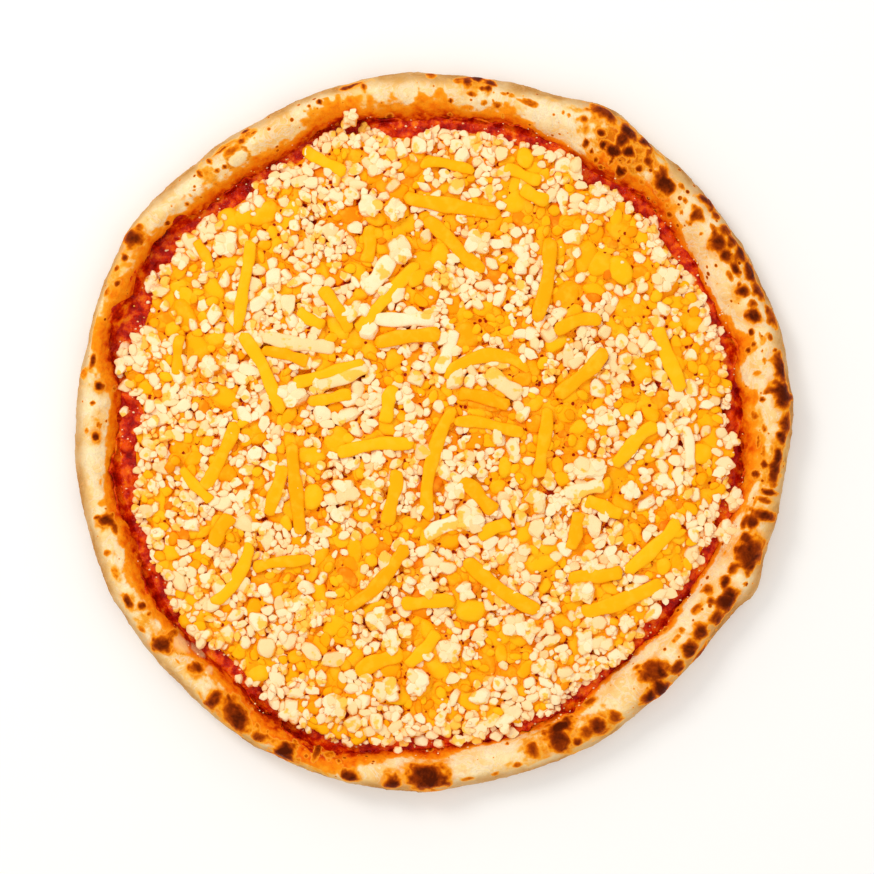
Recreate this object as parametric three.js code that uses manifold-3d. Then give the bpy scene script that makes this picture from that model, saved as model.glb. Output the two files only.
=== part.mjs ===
// A whole cheese pizza, stretched by hand and baked in a hot oven, about 300 mm across.
// Millimetres, +Z up. The origin is on the underside, in the middle. +Y is the far side and +X the right.
// Three solids lie on each other: the dough with its puffed rim, the tomato sauce, and the grated cheese.

import * as THREE from "three";
import { mergeVertices } from "three/addons/utils/BufferGeometryUtils.js";
import Module from "manifold-3d";

// Sizes of the dough.
const RIM_RADIUS = 150.4; // to the widest part of the rim
const WELL_RADIUS = 130.5; // to the inner foot of the rim, where the sauce stops
const RIM_HEIGHT = 17.5; // to the crest of the rim
const BASE_THICKNESS = 4;

// Sizes of what lies on it. Layers rest on each other across a small gap.
const LAYER_GAP = 0.3;
const SAUCE_THICKNESS = 1.4;
const SAUCE_INSET = 0.7; // from the foot of the rim
const SAUCE_EDGE = 0.5; // height of the thin outer edge of the sauce
const SAUCE_THINNING = 3.5; // distance from the foot of the rim where it has its full thickness
const CHEESE_RADIUS = 128;
const CHEESE_DEPTH = 4.2; // of the bed of cheese, in the middle
const EDGE_DROP = 0.45; // share of that depth which the bed loses towards its edge
const CHEESE_INSET = 1.6; // least distance from the foot of the rim

// Places where an outline swells out or draws in: [direction in degrees, half-width in degrees, millimetres].
const RIM_SWELLS = [
  [5, 4, 1.2], [25, 12, 1], [61, 6, 4.2], [144, 10, 2.6],
  [285, 10, -1.5], [315, 28, -5.8], [334.5, 4, 4.2], [350, 10, -2],
];
const WELL_SWELLS = [
  [5, 18, -3.5], [30, 12, -2], [58, 6, -3], [108, 7, 3.5], [147, 10, 8.5], [163, 7, 8.5],
  [190, 6, 2], [213, 14, 3], [250, 14, 7], [316, 24, -7.5],
];
const CHEESE_SWELLS = [
  [3, 6, -6], [25, 12, -2], [57, 5, -3.5], [93, 4, -2], [112, 8, 4], [150, 14, 5.5], [167, 5, 5],
  [177, 4, -4], [215, 12, 3.5], [248, 14, 8], [318, 16, -5.5],
];
const CREST_SWELLS = [
  [58, 9, 2.5], [125, 8, 1.6], [190, 25, -1.6], [233, 8, 1], [285, 18, -1.2], [334.5, 4, -1.5], [340, 8, 1.4],
];

// The rim cut through: [share of its width from the inner foot, share of the crest's height].
const RIM_SECTION = [
  [0, 0.23], [0.1, 0.36], [0.24, 0.68], [0.42, 0.93], [0.6, 1], [0.78, 0.93],
  [0.93, 0.7], [1, 0.4], [0.965, 0.13], [0.88, 0],
];
const RIM_ROWS = 11; // of faces, from the inner foot to the outer one
const RIM_STEPS = 132; // round the pizza

// Slow waves in the dough: [waves per turn, lean across the rim in turns, millimetres, phase in degrees].
const DOUGH_WAVES = [[7, 0.4, 0.55, 20], [13, -0.7, 0.45, 75], [23, 1.1, 0.35, 140]];

// Blisters on the rim: [direction in degrees, distance from the middle, half-length round it, half-width].
const BLISTERS = [
  [3, 146.5, 6, 3.6], [11, 147, 4.5, 2.6], [19.8, 144.2, 3, 3.4], [24.5, 149.5, 6.5, 2.4],
  [33, 142.5, 3.8, 3.2], [40, 149.3, 3.8, 3], [47.5, 142.3, 4.2, 3.4], [54, 149.5, 3.2, 2.8],
  [57.5, 146.5, 3.8, 4], [56.5, 141.5, 3.2, 3], [61.8, 151.5, 3.4, 3], [58.5, 136, 4.6, 4.2],
  [83, 149.8, 3.8, 2.6], [125, 143.5, 8.5, 6.5], [147, 149.5, 3.4, 3], [218, 144, 3.4, 3.4],
  [225, 139, 3.8, 3], [234, 143, 6, 4.8], [245.5, 147, 3.8, 3.8], [269, 144, 7.5, 5.2],
  [293, 138, 5.4, 6.2], [300, 139.5, 4.4, 4], [311, 141.5, 4.8, 3.8], [313, 134.5, 3.6, 3.6],
  [319.5, 140, 3, 3.6], [323.5, 139.5, 3.2, 3.2], [329.5, 140.5, 5, 3.6], [339, 141, 6.4, 5],
  [346, 141, 3, 4.4], [354, 143, 4.5, 3], [357.5, 145, 5.5, 3],
];
const BLISTER_RISE = 0.34; // height over half-width

// Shreds of orange cheese that lie on top: [x, y, x, y of the two ends, bow to the left between them].
const SHRED_WIDTH = 5.4;
const SHRED_THICKNESS = 3.2;
const SHREDS = [
  [-13, 99, 28, 92, -1], [-4, 90, 21, 67, 0], [-6, 71, -32, 42, -1], [-26, 87, -28, 71, 0],
  [-47, 61, -35, 42, 1], [-6, 112, 17, 109, 2], [29, 111, 45, 105, 0], [36, 102, 48, 96, 0],
  [49, 82, 43, 46, 1], [50, 43, 70, 48, 1], [92, 44, 103, 17, 1], [-77, 81, -83, 42, 1],
  [-55, 119, -37, 108, 0], [-99, 81, -93, 68, 0], [-57, 51, -46, 44, 0], [-80, 42, -63, 8, 1],
  [-72, 35, -52, 30, 0], [-59, 21, -29, 30, -1], [-106, 41, -108, 24, 0], [-83, 5, -98, -24, 2],
  [-106, -15, -93, -29, 0], [-63, -13, -69, -35, 0], [-59, -4, -55, -43, -1], [-85, -34, -93, -47, 0],
  [-53, 13, -34, 16, 0], [-41, -8, -8, -4, 1], [9, 11, -2, -37, -5], [8, 5, 38, 0, 1],
  [10, 17, 32, 12, 0], [4, 23, 40, 26, 8], [-17, 20, -21, 4, 0], [-16, -15, -20, -39, 1],
  [11, -19, 26, -33, 0], [18, -43, 32, -37, 0], [47, 11, 43, -19, 1], [-25, 38, 3, 42, 0],
  [72, 35, 51, 15, 1], [75, -14, 93, 4, 1], [63, -28, 79, -34, 0], [61, -33, 57, -49, 0],
  [102, -36, 79, -58, 2], [79, -58, 56, -61, 0], [96, -63, 61, -75, 1], [-77, -45, -93, -71, 4],
  [-76, -56, -51, -52, 0], [-11, -47, -37, -74, 2], [-14, -71, 9, -70, 0], [12, -53, 44, -75, -1],
  [-33, -100, -13, -91, 0], [-11, -98, 2, -83, 0],
];

const SHRED_LIFT = 0.6; // of its middle above the bed

// The largest curds and chunks: [x, y, width along x, width along y].
const CURDS = [
  [96, 64, 10, 10], [6, -91, 9, 9], [-7, -104, 8.5, 11], [-20, -107, 10, 9], [-41, -114, 10, 8.5],
  [-3, -64, 7.5, 8.5], [34, -80, 11, 7.5], [-23, -78, 9, 9], [-18, -87, 6.5, 10], [13, -66, 6, 7.5],
  [62, -66, 9, 8.5], [65, -55, 6.5, 6.5], [80, -79, 6, 6], [63, -87, 6.5, 11], [46, -98, 9, 7.5],
  [-25, 112, 8.5, 8.5], [19, 80, 11, 8.5], [-27, 95, 9, 9], [-16, 93, 7.5, 7.5], [-14, 76, 8.5, 10],
  [-33, 51, 12.5, 6], [-60, 16, 11, 8.5], [-94, 28, 7.5, 8.5], [-106, 72, 6, 6], [-87, 79, 9, 10],
  [-118, 62, 6.5, 6.5], [15, -36, 11.5, 10], [-27, -22, 7.5, 6.5], [-37, -24, 10, 8.5], [36, 56, 6, 6],
  [65, -15, 12.5, 8.5], [82, -24, 7.5, 6.5], [69, 102, 8.5, 5], [76, 99, 6, 6], [92, 88, 4, 6],
  [124, -3, 6.5, 6], [122, -41, 7.5, 8.5], [77, 85, 10, 8.5], [63, 74, 8.5, 15], [39, -93, 7.5, 7.5],
  [-77, -93, 6.5, 12.5], [-41, -3, 10.5, 14.5], [-17, 31, 8.5, 8.5], [-33, 122, 5, 6], [-77, 39, 11, 7.5],
];

// Smaller crumbs, strewn at random between them.
const CRUMB_COUNT = 70;
const CRUMB_SIZE = [5, 8]; // least and greatest width
const CRUMB_SPACING = 1.1; // least distance from another, as a share of both half-widths
const CRUMB_LIFT = 0.1; // of its middle above the bed, as a share of its width
const CRUMB_ROUGHNESS = 0.15; // how far a corner stands out or in, as a share of its half-width
const RIM_CLEARANCE = 0.8; // of a crumb from the foot of the rim
const BED_RINGS = 15; // of faces in the bed's top
const BED_BUMP = 1.1; // half the height of the bumps in the bed
const SHORTEST_EDGE = 0.35; // of a face, where pieces are fused
const THINNEST_FACE = 0.12; // across its longest edge

const TURN = 2 * Math.PI;
const wasm = await Module();
wasm.setup();

// Repeatable random numbers from 0 to 1.
function randomFrom(seed) {
  let state = seed;
  return () => {
    state = (state * 1664525 + 1013904223) % 4294967296;
    return state / 4294967296;
  };
}

function swell(swells, degrees) {
  return swells.reduce((sum, [at, halfWidth, height]) => {
    const away = THREE.MathUtils.euclideanModulo(degrees - at + 180, 360) - 180;
    return sum + height * Math.exp(-((away / halfWidth) ** 2));
  }, 0);
}

const rimRadius = (degrees) => RIM_RADIUS + swell(RIM_SWELLS, degrees);
const wellRadius = (degrees) => WELL_RADIUS + swell(WELL_SWELLS, degrees);
const cheeseRadius = (degrees) =>
  Math.min(CHEESE_RADIUS + swell(CHEESE_SWELLS, degrees), wellRadius(degrees) - CHEESE_INSET);

// How far the dough stands proud of its plain section, at a direction and a distance from the middle.
function doughRelief(degrees, radius, across) {
  const waves = DOUGH_WAVES.reduce((sum, [count, lean, height, phase]) => {
    const angle = count * degrees + 360 * lean * across + phase;
    return sum + height * Math.sin(THREE.MathUtils.degToRad(angle));
  }, 0);
  const blisters = BLISTERS.reduce((sum, [at, distance, halfLength, halfWidth]) => {
    const away = THREE.MathUtils.euclideanModulo(degrees - at + 180, 360) - 180;
    const along = (THREE.MathUtils.degToRad(away) * distance) / halfLength;
    const out = (radius - distance) / halfWidth;
    return sum + BLISTER_RISE * halfWidth * Math.exp(-(along ** 2) - out ** 2);
  }, 0);
  return waves + blisters;
}

// A closed geometry from rings of equally many points, with a fan to a middle point at each end.
function latheOfRings(rings, firstMiddle, lastMiddle) {
  const steps = rings[0].length;
  const points = [...rings.flat(), firstMiddle, lastMiddle];
  const first = points.length - 2;
  const last = points.length - 1;
  const faces = [];
  for (let step = 0; step < steps; step++) {
    const next = (step + 1) % steps;
    for (let row = 0; row + 1 < rings.length; row++) {
      const a = row * steps + step;
      const b = row * steps + next;
      faces.push(a, b, a + steps, b, b + steps, a + steps);
    }
    const edge = (rings.length - 1) * steps;
    faces.push(first, next, step, last, edge + step, edge + next);
  }
  return new THREE.BufferGeometry().setFromPoints(points).setIndex(faces);
}

function onCircle(radius, degrees, height) {
  const angle = THREE.MathUtils.degToRad(degrees);
  return new THREE.Vector3(radius * Math.cos(angle), radius * Math.sin(angle), height);
}

// The dough: a thin flat base, and a rim that puffed up in the oven, with blisters.
function makeDough() {
  const section = new THREE.SplineCurve(RIM_SECTION.map(([x, y]) => new THREE.Vector2(x, y)));
  const rings = [];
  for (let row = 0; row <= RIM_ROWS; row++) {
    const across = row / RIM_ROWS;
    const { x, y } = section.getPoint(across);
    const slope = section.getTangent(across);
    const ring = [];
    for (let step = 0; step < RIM_STEPS; step++) {
      const degrees = (360 * step) / RIM_STEPS;
      const foot = wellRadius(degrees);
      const width = rimRadius(degrees) - foot;
      const crest = RIM_HEIGHT + swell(CREST_SWELLS, degrees);
      const radius = foot + width * x;
      const outward = new THREE.Vector2(-slope.y * crest, slope.x * width).normalize();
      const proud = doughRelief(degrees, radius, across) * Math.sin(Math.PI * across);
      const height = row === 0 ? BASE_THICKNESS : crest * y + outward.y * proud;
      ring.push(onCircle(radius + outward.x * proud, degrees, row === RIM_ROWS ? 0 : Math.max(height, 0.4)));
    }
    rings.push(ring);
  }
  const top = new THREE.Vector3(0, 0, BASE_THICKNESS);
  return latheOfRings(rings.reverse(), new THREE.Vector3(0, 0, 0), top);
}

// The sauce: a thin layer over the whole base, thinnest where it runs out at the foot of the rim.
function makeSauce() {
  const floor = BASE_THICKNESS + LAYER_GAP;
  const steps = 90;
  const ringAt = (inset, height) =>
    Array.from({ length: steps }, (_, step) => {
      const degrees = (360 * step) / steps;
      return onCircle(wellRadius(degrees) - inset, degrees, height);
    });
  const rings = [
    ringAt(SAUCE_INSET, floor),
    ringAt(SAUCE_INSET, floor + SAUCE_EDGE),
    ringAt(SAUCE_THINNING, floor + SAUCE_THICKNESS),
  ];
  const top = new THREE.Vector3(0, 0, floor + SAUCE_THICKNESS);
  return latheOfRings(rings, new THREE.Vector3(0, 0, floor), top);
}

// The bed of cheese. Ring k of its top has 6k points, so that its faces are of an even size, and each point
// is a bump.
function makeBed(floor) {
  const random = randomFrom(7);
  const points = [new THREE.Vector3(0, 0, floor + CHEESE_DEPTH)];
  const start = (ring) => (ring === 0 ? 0 : 1 + 3 * ring * (ring - 1));
  for (let ring = 1; ring <= BED_RINGS; ring++) {
    for (let step = 0; step < 6 * ring; step++) {
      const degrees = (60 * (step + 0.5 * (random() - 0.5))) / ring;
      const share = ring === BED_RINGS ? 1 : (ring + 0.5 * (random() - 0.5)) / BED_RINGS;
      const depth = CHEESE_DEPTH * (1 - EDGE_DROP * share ** 6) + BED_BUMP * (2 * random() - 1);
      points.push(onCircle(share * cheeseRadius(degrees), degrees, floor + depth));
    }
  }
  const faces = [];
  for (let ring = 0; ring < BED_RINGS; ring++) {
    const inner = start(ring);
    const outer = start(ring + 1);
    for (let sixth = 0; sixth < 6; sixth++) {
      for (let step = 0; step <= ring; step++) {
        const a = inner + (ring === 0 ? 0 : (sixth * ring + step) % (6 * ring));
        const b = outer + sixth * (ring + 1) + step;
        const c = outer + ((sixth * (ring + 1) + step + 1) % (6 * (ring + 1)));
        faces.push(a, b, c);
        if (step < ring) faces.push(a, c, inner + ((sixth * ring + step + 1) % (6 * ring)));
      }
    }
  }
  const edge = start(BED_RINGS);
  const around = 6 * BED_RINGS;
  const below = points.length;
  for (let step = 0; step < around; step++) {
    const { x, y } = points[edge + step];
    points.push(new THREE.Vector3(x, y, floor));
  }
  const middle = points.push(new THREE.Vector3(0, 0, floor)) - 1;
  for (let step = 0; step < around; step++) {
    const next = (step + 1) % around;
    faces.push(edge + step, below + step, edge + next, edge + next, below + step, below + next);
    faces.push(middle, below + next, below + step);
  }
  return new THREE.BufferGeometry().setFromPoints(points).setIndex(faces);
}

// One shred: a flat strip with bevelled long edges, bowed a little, half sunk in the bed.
function makeShred([x0, y0, x1, y1, bow], height) {
  const from = new THREE.Vector3(x0, y0, height);
  const to = new THREE.Vector3(x1, y1, height);
  const way = to.clone().sub(from).normalize();
  const left = new THREE.Vector3(-way.y, way.x, 0);
  const middle = from.clone().lerp(to, 0.5).addScaledVector(left, 2 * bow);
  const half = SHRED_THICKNESS / 2;
  const side = SHRED_WIDTH / 2;
  const section = new THREE.Shape(
    [[-half, -0.7], [0, -1], [half, -0.6], [half, 0.6], [0, 1], [-half, 0.7]]
      .map(([x, y]) => new THREE.Vector2(x, y * side)),
  );
  const steps = 1 + 2 * Math.min(2, Math.ceil(Math.abs(bow) / 3));
  const extrudePath = new THREE.QuadraticBezierCurve3(from, middle, to);
  return new THREE.ExtrudeGeometry(section, { steps, extrudePath });
}

// One crumb: a rough lump with twelve corners.
function makeCrumb(size, random) {
  const crumb = mergeVertices(bare(new THREE.IcosahedronGeometry(size / 2, 0)));
  const corners = crumb.getAttribute("position");
  for (let i = 0; i < corners.count; i++) {
    const reach = 1 + CRUMB_ROUGHNESS * (2 * random() - 1);
    corners.setXYZ(i, corners.getX(i) * reach, corners.getY(i) * reach, corners.getZ(i) * reach * 0.85);
  }
  return crumb.rotateX(TURN * random()).rotateZ(TURN * random());
}

function bare(geometry) {
  geometry.deleteAttribute("normal");
  geometry.deleteAttribute("uv");
  return geometry;
}

function toSolid(geometry) {
  const closed = mergeVertices(bare(geometry), 1e-4);
  return new wasm.Manifold(
    new wasm.Mesh({
      numProp: 3,
      vertProperties: closed.getAttribute("position").array,
      triVerts: new Uint32Array(closed.index.array),
    }),
  );
}

function toGeometry(solid) {
  const { vertProperties, triVerts } = solid.getMesh();
  return new THREE.BufferGeometry()
    .setAttribute("position", new THREE.BufferAttribute(vertProperties, 3))
    .setIndex(new THREE.BufferAttribute(triVerts, 1));
}

// Fused pieces meet in slivers. This merges the ends of short edges, and swaps the long edge of a thin face for
// the other diagonal, wherever the surface stays closed and no face turns over.
function withoutSlivers(geometry) {
  const { position } = geometry.attributes;
  const pointAt = (_, i) => new THREE.Vector3().fromBufferAttribute(position, i);
  const points = Array.from({ length: position.count }, pointAt);
  const corners = [...geometry.index.array];
  const faces = new Set(corners.flatMap((_, i) => (i % 3 === 0 ? [corners.slice(i, i + 3)] : [])));
  const around = points.map(() => new Set());
  for (const face of faces) face.forEach((corner) => around[corner].add(face));

  const neighbours = (corner) => new Set([...around[corner]].flat());
  const side = (face, i) => points[face[(i + 1) % 3]].clone().sub(points[face[i]]);
  const lengths = (face) => face.map((_, i) => side(face, i).length());
  const normal = (face) => side(face, 0).cross(side(face, 1));
  const height = (face) => normal(face).length() / Math.max(...lengths(face));

  const replace = (old, fresh) => {
    for (const face of old) {
      faces.delete(face);
      face.forEach((corner) => around[corner].delete(face));
    }
    for (const face of fresh) {
      faces.add(face);
      face.forEach((corner) => around[corner].add(face));
    }
    return true;
  };

  const mergeEnds = (kept, dropped) => {
    if (points[kept].distanceTo(points[dropped]) > SHORTEST_EDGE) return false;
    const near = neighbours(dropped);
    if ([...neighbours(kept)].filter((corner) => near.has(corner)).length !== 4) return false;
    const moved = [...around[dropped]].filter((face) => !face.includes(kept));
    const fresh = moved.map((face) => face.map((corner) => (corner === dropped ? kept : corner)));
    if (moved.some((face, i) => normal(face).dot(normal(fresh[i])) <= 0)) return false;
    return replace([...around[dropped]], fresh);
  };

  const swapLongEdge = (face) => {
    if (height(face) > THINNEST_FACE) return false;
    const i = lengths(face).indexOf(Math.max(...lengths(face)));
    const [a, b, c] = [face[i], face[(i + 1) % 3], face[(i + 2) % 3]];
    const beyond = [...around[a]].find((other) => other !== face && other.includes(b));
    const d = beyond.find((corner) => corner !== a && corner !== b);
    const fresh = [[a, d, c], [d, b, c]];
    if (neighbours(c).has(d) || Math.min(...fresh.map(height)) <= height(face)) return false;
    if (fresh.some((one) => normal(one).dot(normal(beyond)) <= 0)) return false;
    return replace([face, beyond], fresh);
  };

  for (const face of faces) {
    const merged = [0, 1, 2].some((i) => {
      const [from, to] = [face[i], face[(i + 1) % 3]];
      return mergeEnds(from, to) || mergeEnds(to, from);
    });
    if (!merged) swapLongEdge(face);
  }
  return new THREE.BufferGeometry().setFromPoints(points).setIndex([...faces].flat());
}

// The cheese: one heap, the bed with the shreds and the largest crumbs fused on.
function makeCheese() {
  const floor = BASE_THICKNESS + SAUCE_THICKNESS + 2 * LAYER_GAP;
  const bedTop = floor + CHEESE_DEPTH;
  let heap = toSolid(makeBed(floor));
  for (const shred of SHREDS) heap = heap.add(toSolid(makeShred(shred, bedTop + SHRED_LIFT)));
  const random = randomFrom(11);
  const placed = [];
  const settle = (x, y, width, depth) => {
    const size = Math.sqrt(width * depth);
    const degrees = THREE.MathUtils.radToDeg(Math.atan2(y, x));
    const reach = Math.hypot(x, y);
    const drop = CHEESE_DEPTH * EDGE_DROP * Math.min(reach / cheeseRadius(degrees), 1) ** 6;
    const place = new THREE.Vector3(x, y, bedTop + CRUMB_LIFT * size - drop);
    const onBed = reach < cheeseRadius(degrees) && reach + size / 2 + RIM_CLEARANCE < wellRadius(degrees);
    const apart = placed.every(([at, other]) => at.distanceTo(place) > (CRUMB_SPACING * (size + other)) / 2);
    const free = SHREDS.every((shred) => distanceToShred(place, shred) > (SHRED_WIDTH + size) / 2);
    if (!onBed || !apart || !free) return;
    placed.push([place, size]);
    const squash = Math.min(1, (2 * (place.z - floor)) / (size * (1 + CRUMB_ROUGHNESS)));
    const crumb = makeCrumb(size, random).scale(width / size, depth / size, squash);
    heap = heap.add(toSolid(crumb.translate(place.x, place.y, place.z)));
  };
  for (const curd of CURDS) settle(...curd);
  const wanted = placed.length + CRUMB_COUNT;
  while (placed.length < wanted) {
    const degrees = 360 * random();
    const { x, y } = onCircle(cheeseRadius(degrees) * Math.sqrt(random()), degrees, 0);
    const size = THREE.MathUtils.lerp(...CRUMB_SIZE, random());
    settle(x, y, size, size);
  }
  return withoutSlivers(toGeometry(heap));
}

function distanceToShred(place, [x0, y0, x1, y1]) {
  const line = new THREE.Line3(new THREE.Vector3(x0, y0, place.z), new THREE.Vector3(x1, y1, place.z));
  return line.closestPointToPoint(place, true, new THREE.Vector3()).distanceTo(place);
}

function named(name, geometry, color, roughness) {
  const mesh = new THREE.Mesh(geometry, new THREE.MeshStandardMaterial({ color, roughness, metalness: 0 }));
  mesh.name = name;
  return mesh;
}

const pizza = new THREE.Group();
pizza.add(
  named("dough_crust", makeDough(), 0xf0cf96, 0.75),
  named("tomato_sauce", makeSauce(), 0xb32408, 0.3),
  named("grated_cheese", makeCheese(), 0xfbcf6e, 0.5),
);

export default pizza;
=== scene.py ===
import itertools

import bpy
import numpy as np
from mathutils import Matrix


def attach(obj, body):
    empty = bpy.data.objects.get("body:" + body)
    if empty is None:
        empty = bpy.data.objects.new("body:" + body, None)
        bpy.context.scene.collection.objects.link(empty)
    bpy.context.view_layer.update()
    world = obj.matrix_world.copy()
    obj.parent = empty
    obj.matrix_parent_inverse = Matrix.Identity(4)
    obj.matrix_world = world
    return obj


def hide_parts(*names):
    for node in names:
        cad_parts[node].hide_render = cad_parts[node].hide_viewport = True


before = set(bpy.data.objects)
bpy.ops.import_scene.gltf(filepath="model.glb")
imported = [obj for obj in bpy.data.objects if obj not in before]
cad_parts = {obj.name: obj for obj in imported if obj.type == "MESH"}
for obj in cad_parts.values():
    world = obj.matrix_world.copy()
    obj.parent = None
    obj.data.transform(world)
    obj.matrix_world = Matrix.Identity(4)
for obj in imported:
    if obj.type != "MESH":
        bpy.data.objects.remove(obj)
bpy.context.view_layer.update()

# A whole cheese pizza, built in the order a cook makes it: dough, sauce, then cheese from the bottom of the
# heap up. Sizes are in millimetres, and each mesh is turned into metres as it is made.


# ---------------------------------------------------------------------------------------------------------
# The dough: wheat flour, water, salt and yeast, stretched by hand into a thin round with a thicker rim. In a
# very hot oven the rim puffs up, its bubbles char, and its inner slope soaks up sauce and orange fat.

MM = 0.001
RIM_RADIUS = 150.4
WELL_RADIUS = 130.5
RIM_HEIGHT = 17.5
BASE_THICKNESS = 4.0

# Places where an outline swells out or draws in: direction and half-width in degrees, then millimetres.
RIM_SWELLS = [
    (5, 4, 1.2), (25, 12, 1), (61, 6, 4.2), (144, 10, 2.6),
    (285, 10, -1.5), (315, 28, -5.8), (334.5, 4, 4.2), (350, 10, -2),
]
WELL_SWELLS = [
    (5, 18, -3.5), (30, 12, -2), (58, 6, -3), (108, 7, 3.5), (147, 10, 8.5), (163, 7, 8.5),
    (190, 6, 2), (213, 14, 3), (250, 14, 7), (316, 24, -7.5),
]
CREST_SWELLS = [
    (58, 9, 2.5), (125, 8, 1.6), (190, 25, -1.6), (233, 8, 1), (285, 18, -1.2), (334.5, 4, -1.5),
    (340, 8, 1.4),
]

# The rim cut through: share of its width from the inner foot, share of the crest's height.
RIM_SECTION = np.array([
    (0, 0.23), (0.1, 0.36), (0.24, 0.68), (0.42, 0.93), (0.6, 1), (0.78, 0.93),
    (0.93, 0.7), (1, 0.4), (0.965, 0.13), (0.88, 0),
])
RIM_ROWS = 60
RIM_STEPS = 1000
UNDERSIDE_RINGS = 9

# Slow waves in the dough: waves per turn, lean across the rim in turns, millimetres, phase in degrees.
DOUGH_WAVES = [(7, 0.4, 0.55, 20), (13, -0.7, 0.45, 75), (23, 1.1, 0.35, 140)]

# Its lumps and the dimples of its underside, by height, size and seed, and its fine ridges, by the same and
# how sharp they are.
DOUGH_LUMPS = [(0.45, 8, 5), (0.22, 3.5, 6)]
UNDERSIDE_DIMPLES = (0.35, 11, 9)
DOUGH_RIDGES = [(0.34, 4.5, 7, 6), (0.16, 2.2, 8, 5)]

# How high a blister and a pale cap stand, as a share of their half-width.
BLISTER_RISE = 0.38
CAP_RISE = 0.3

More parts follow.
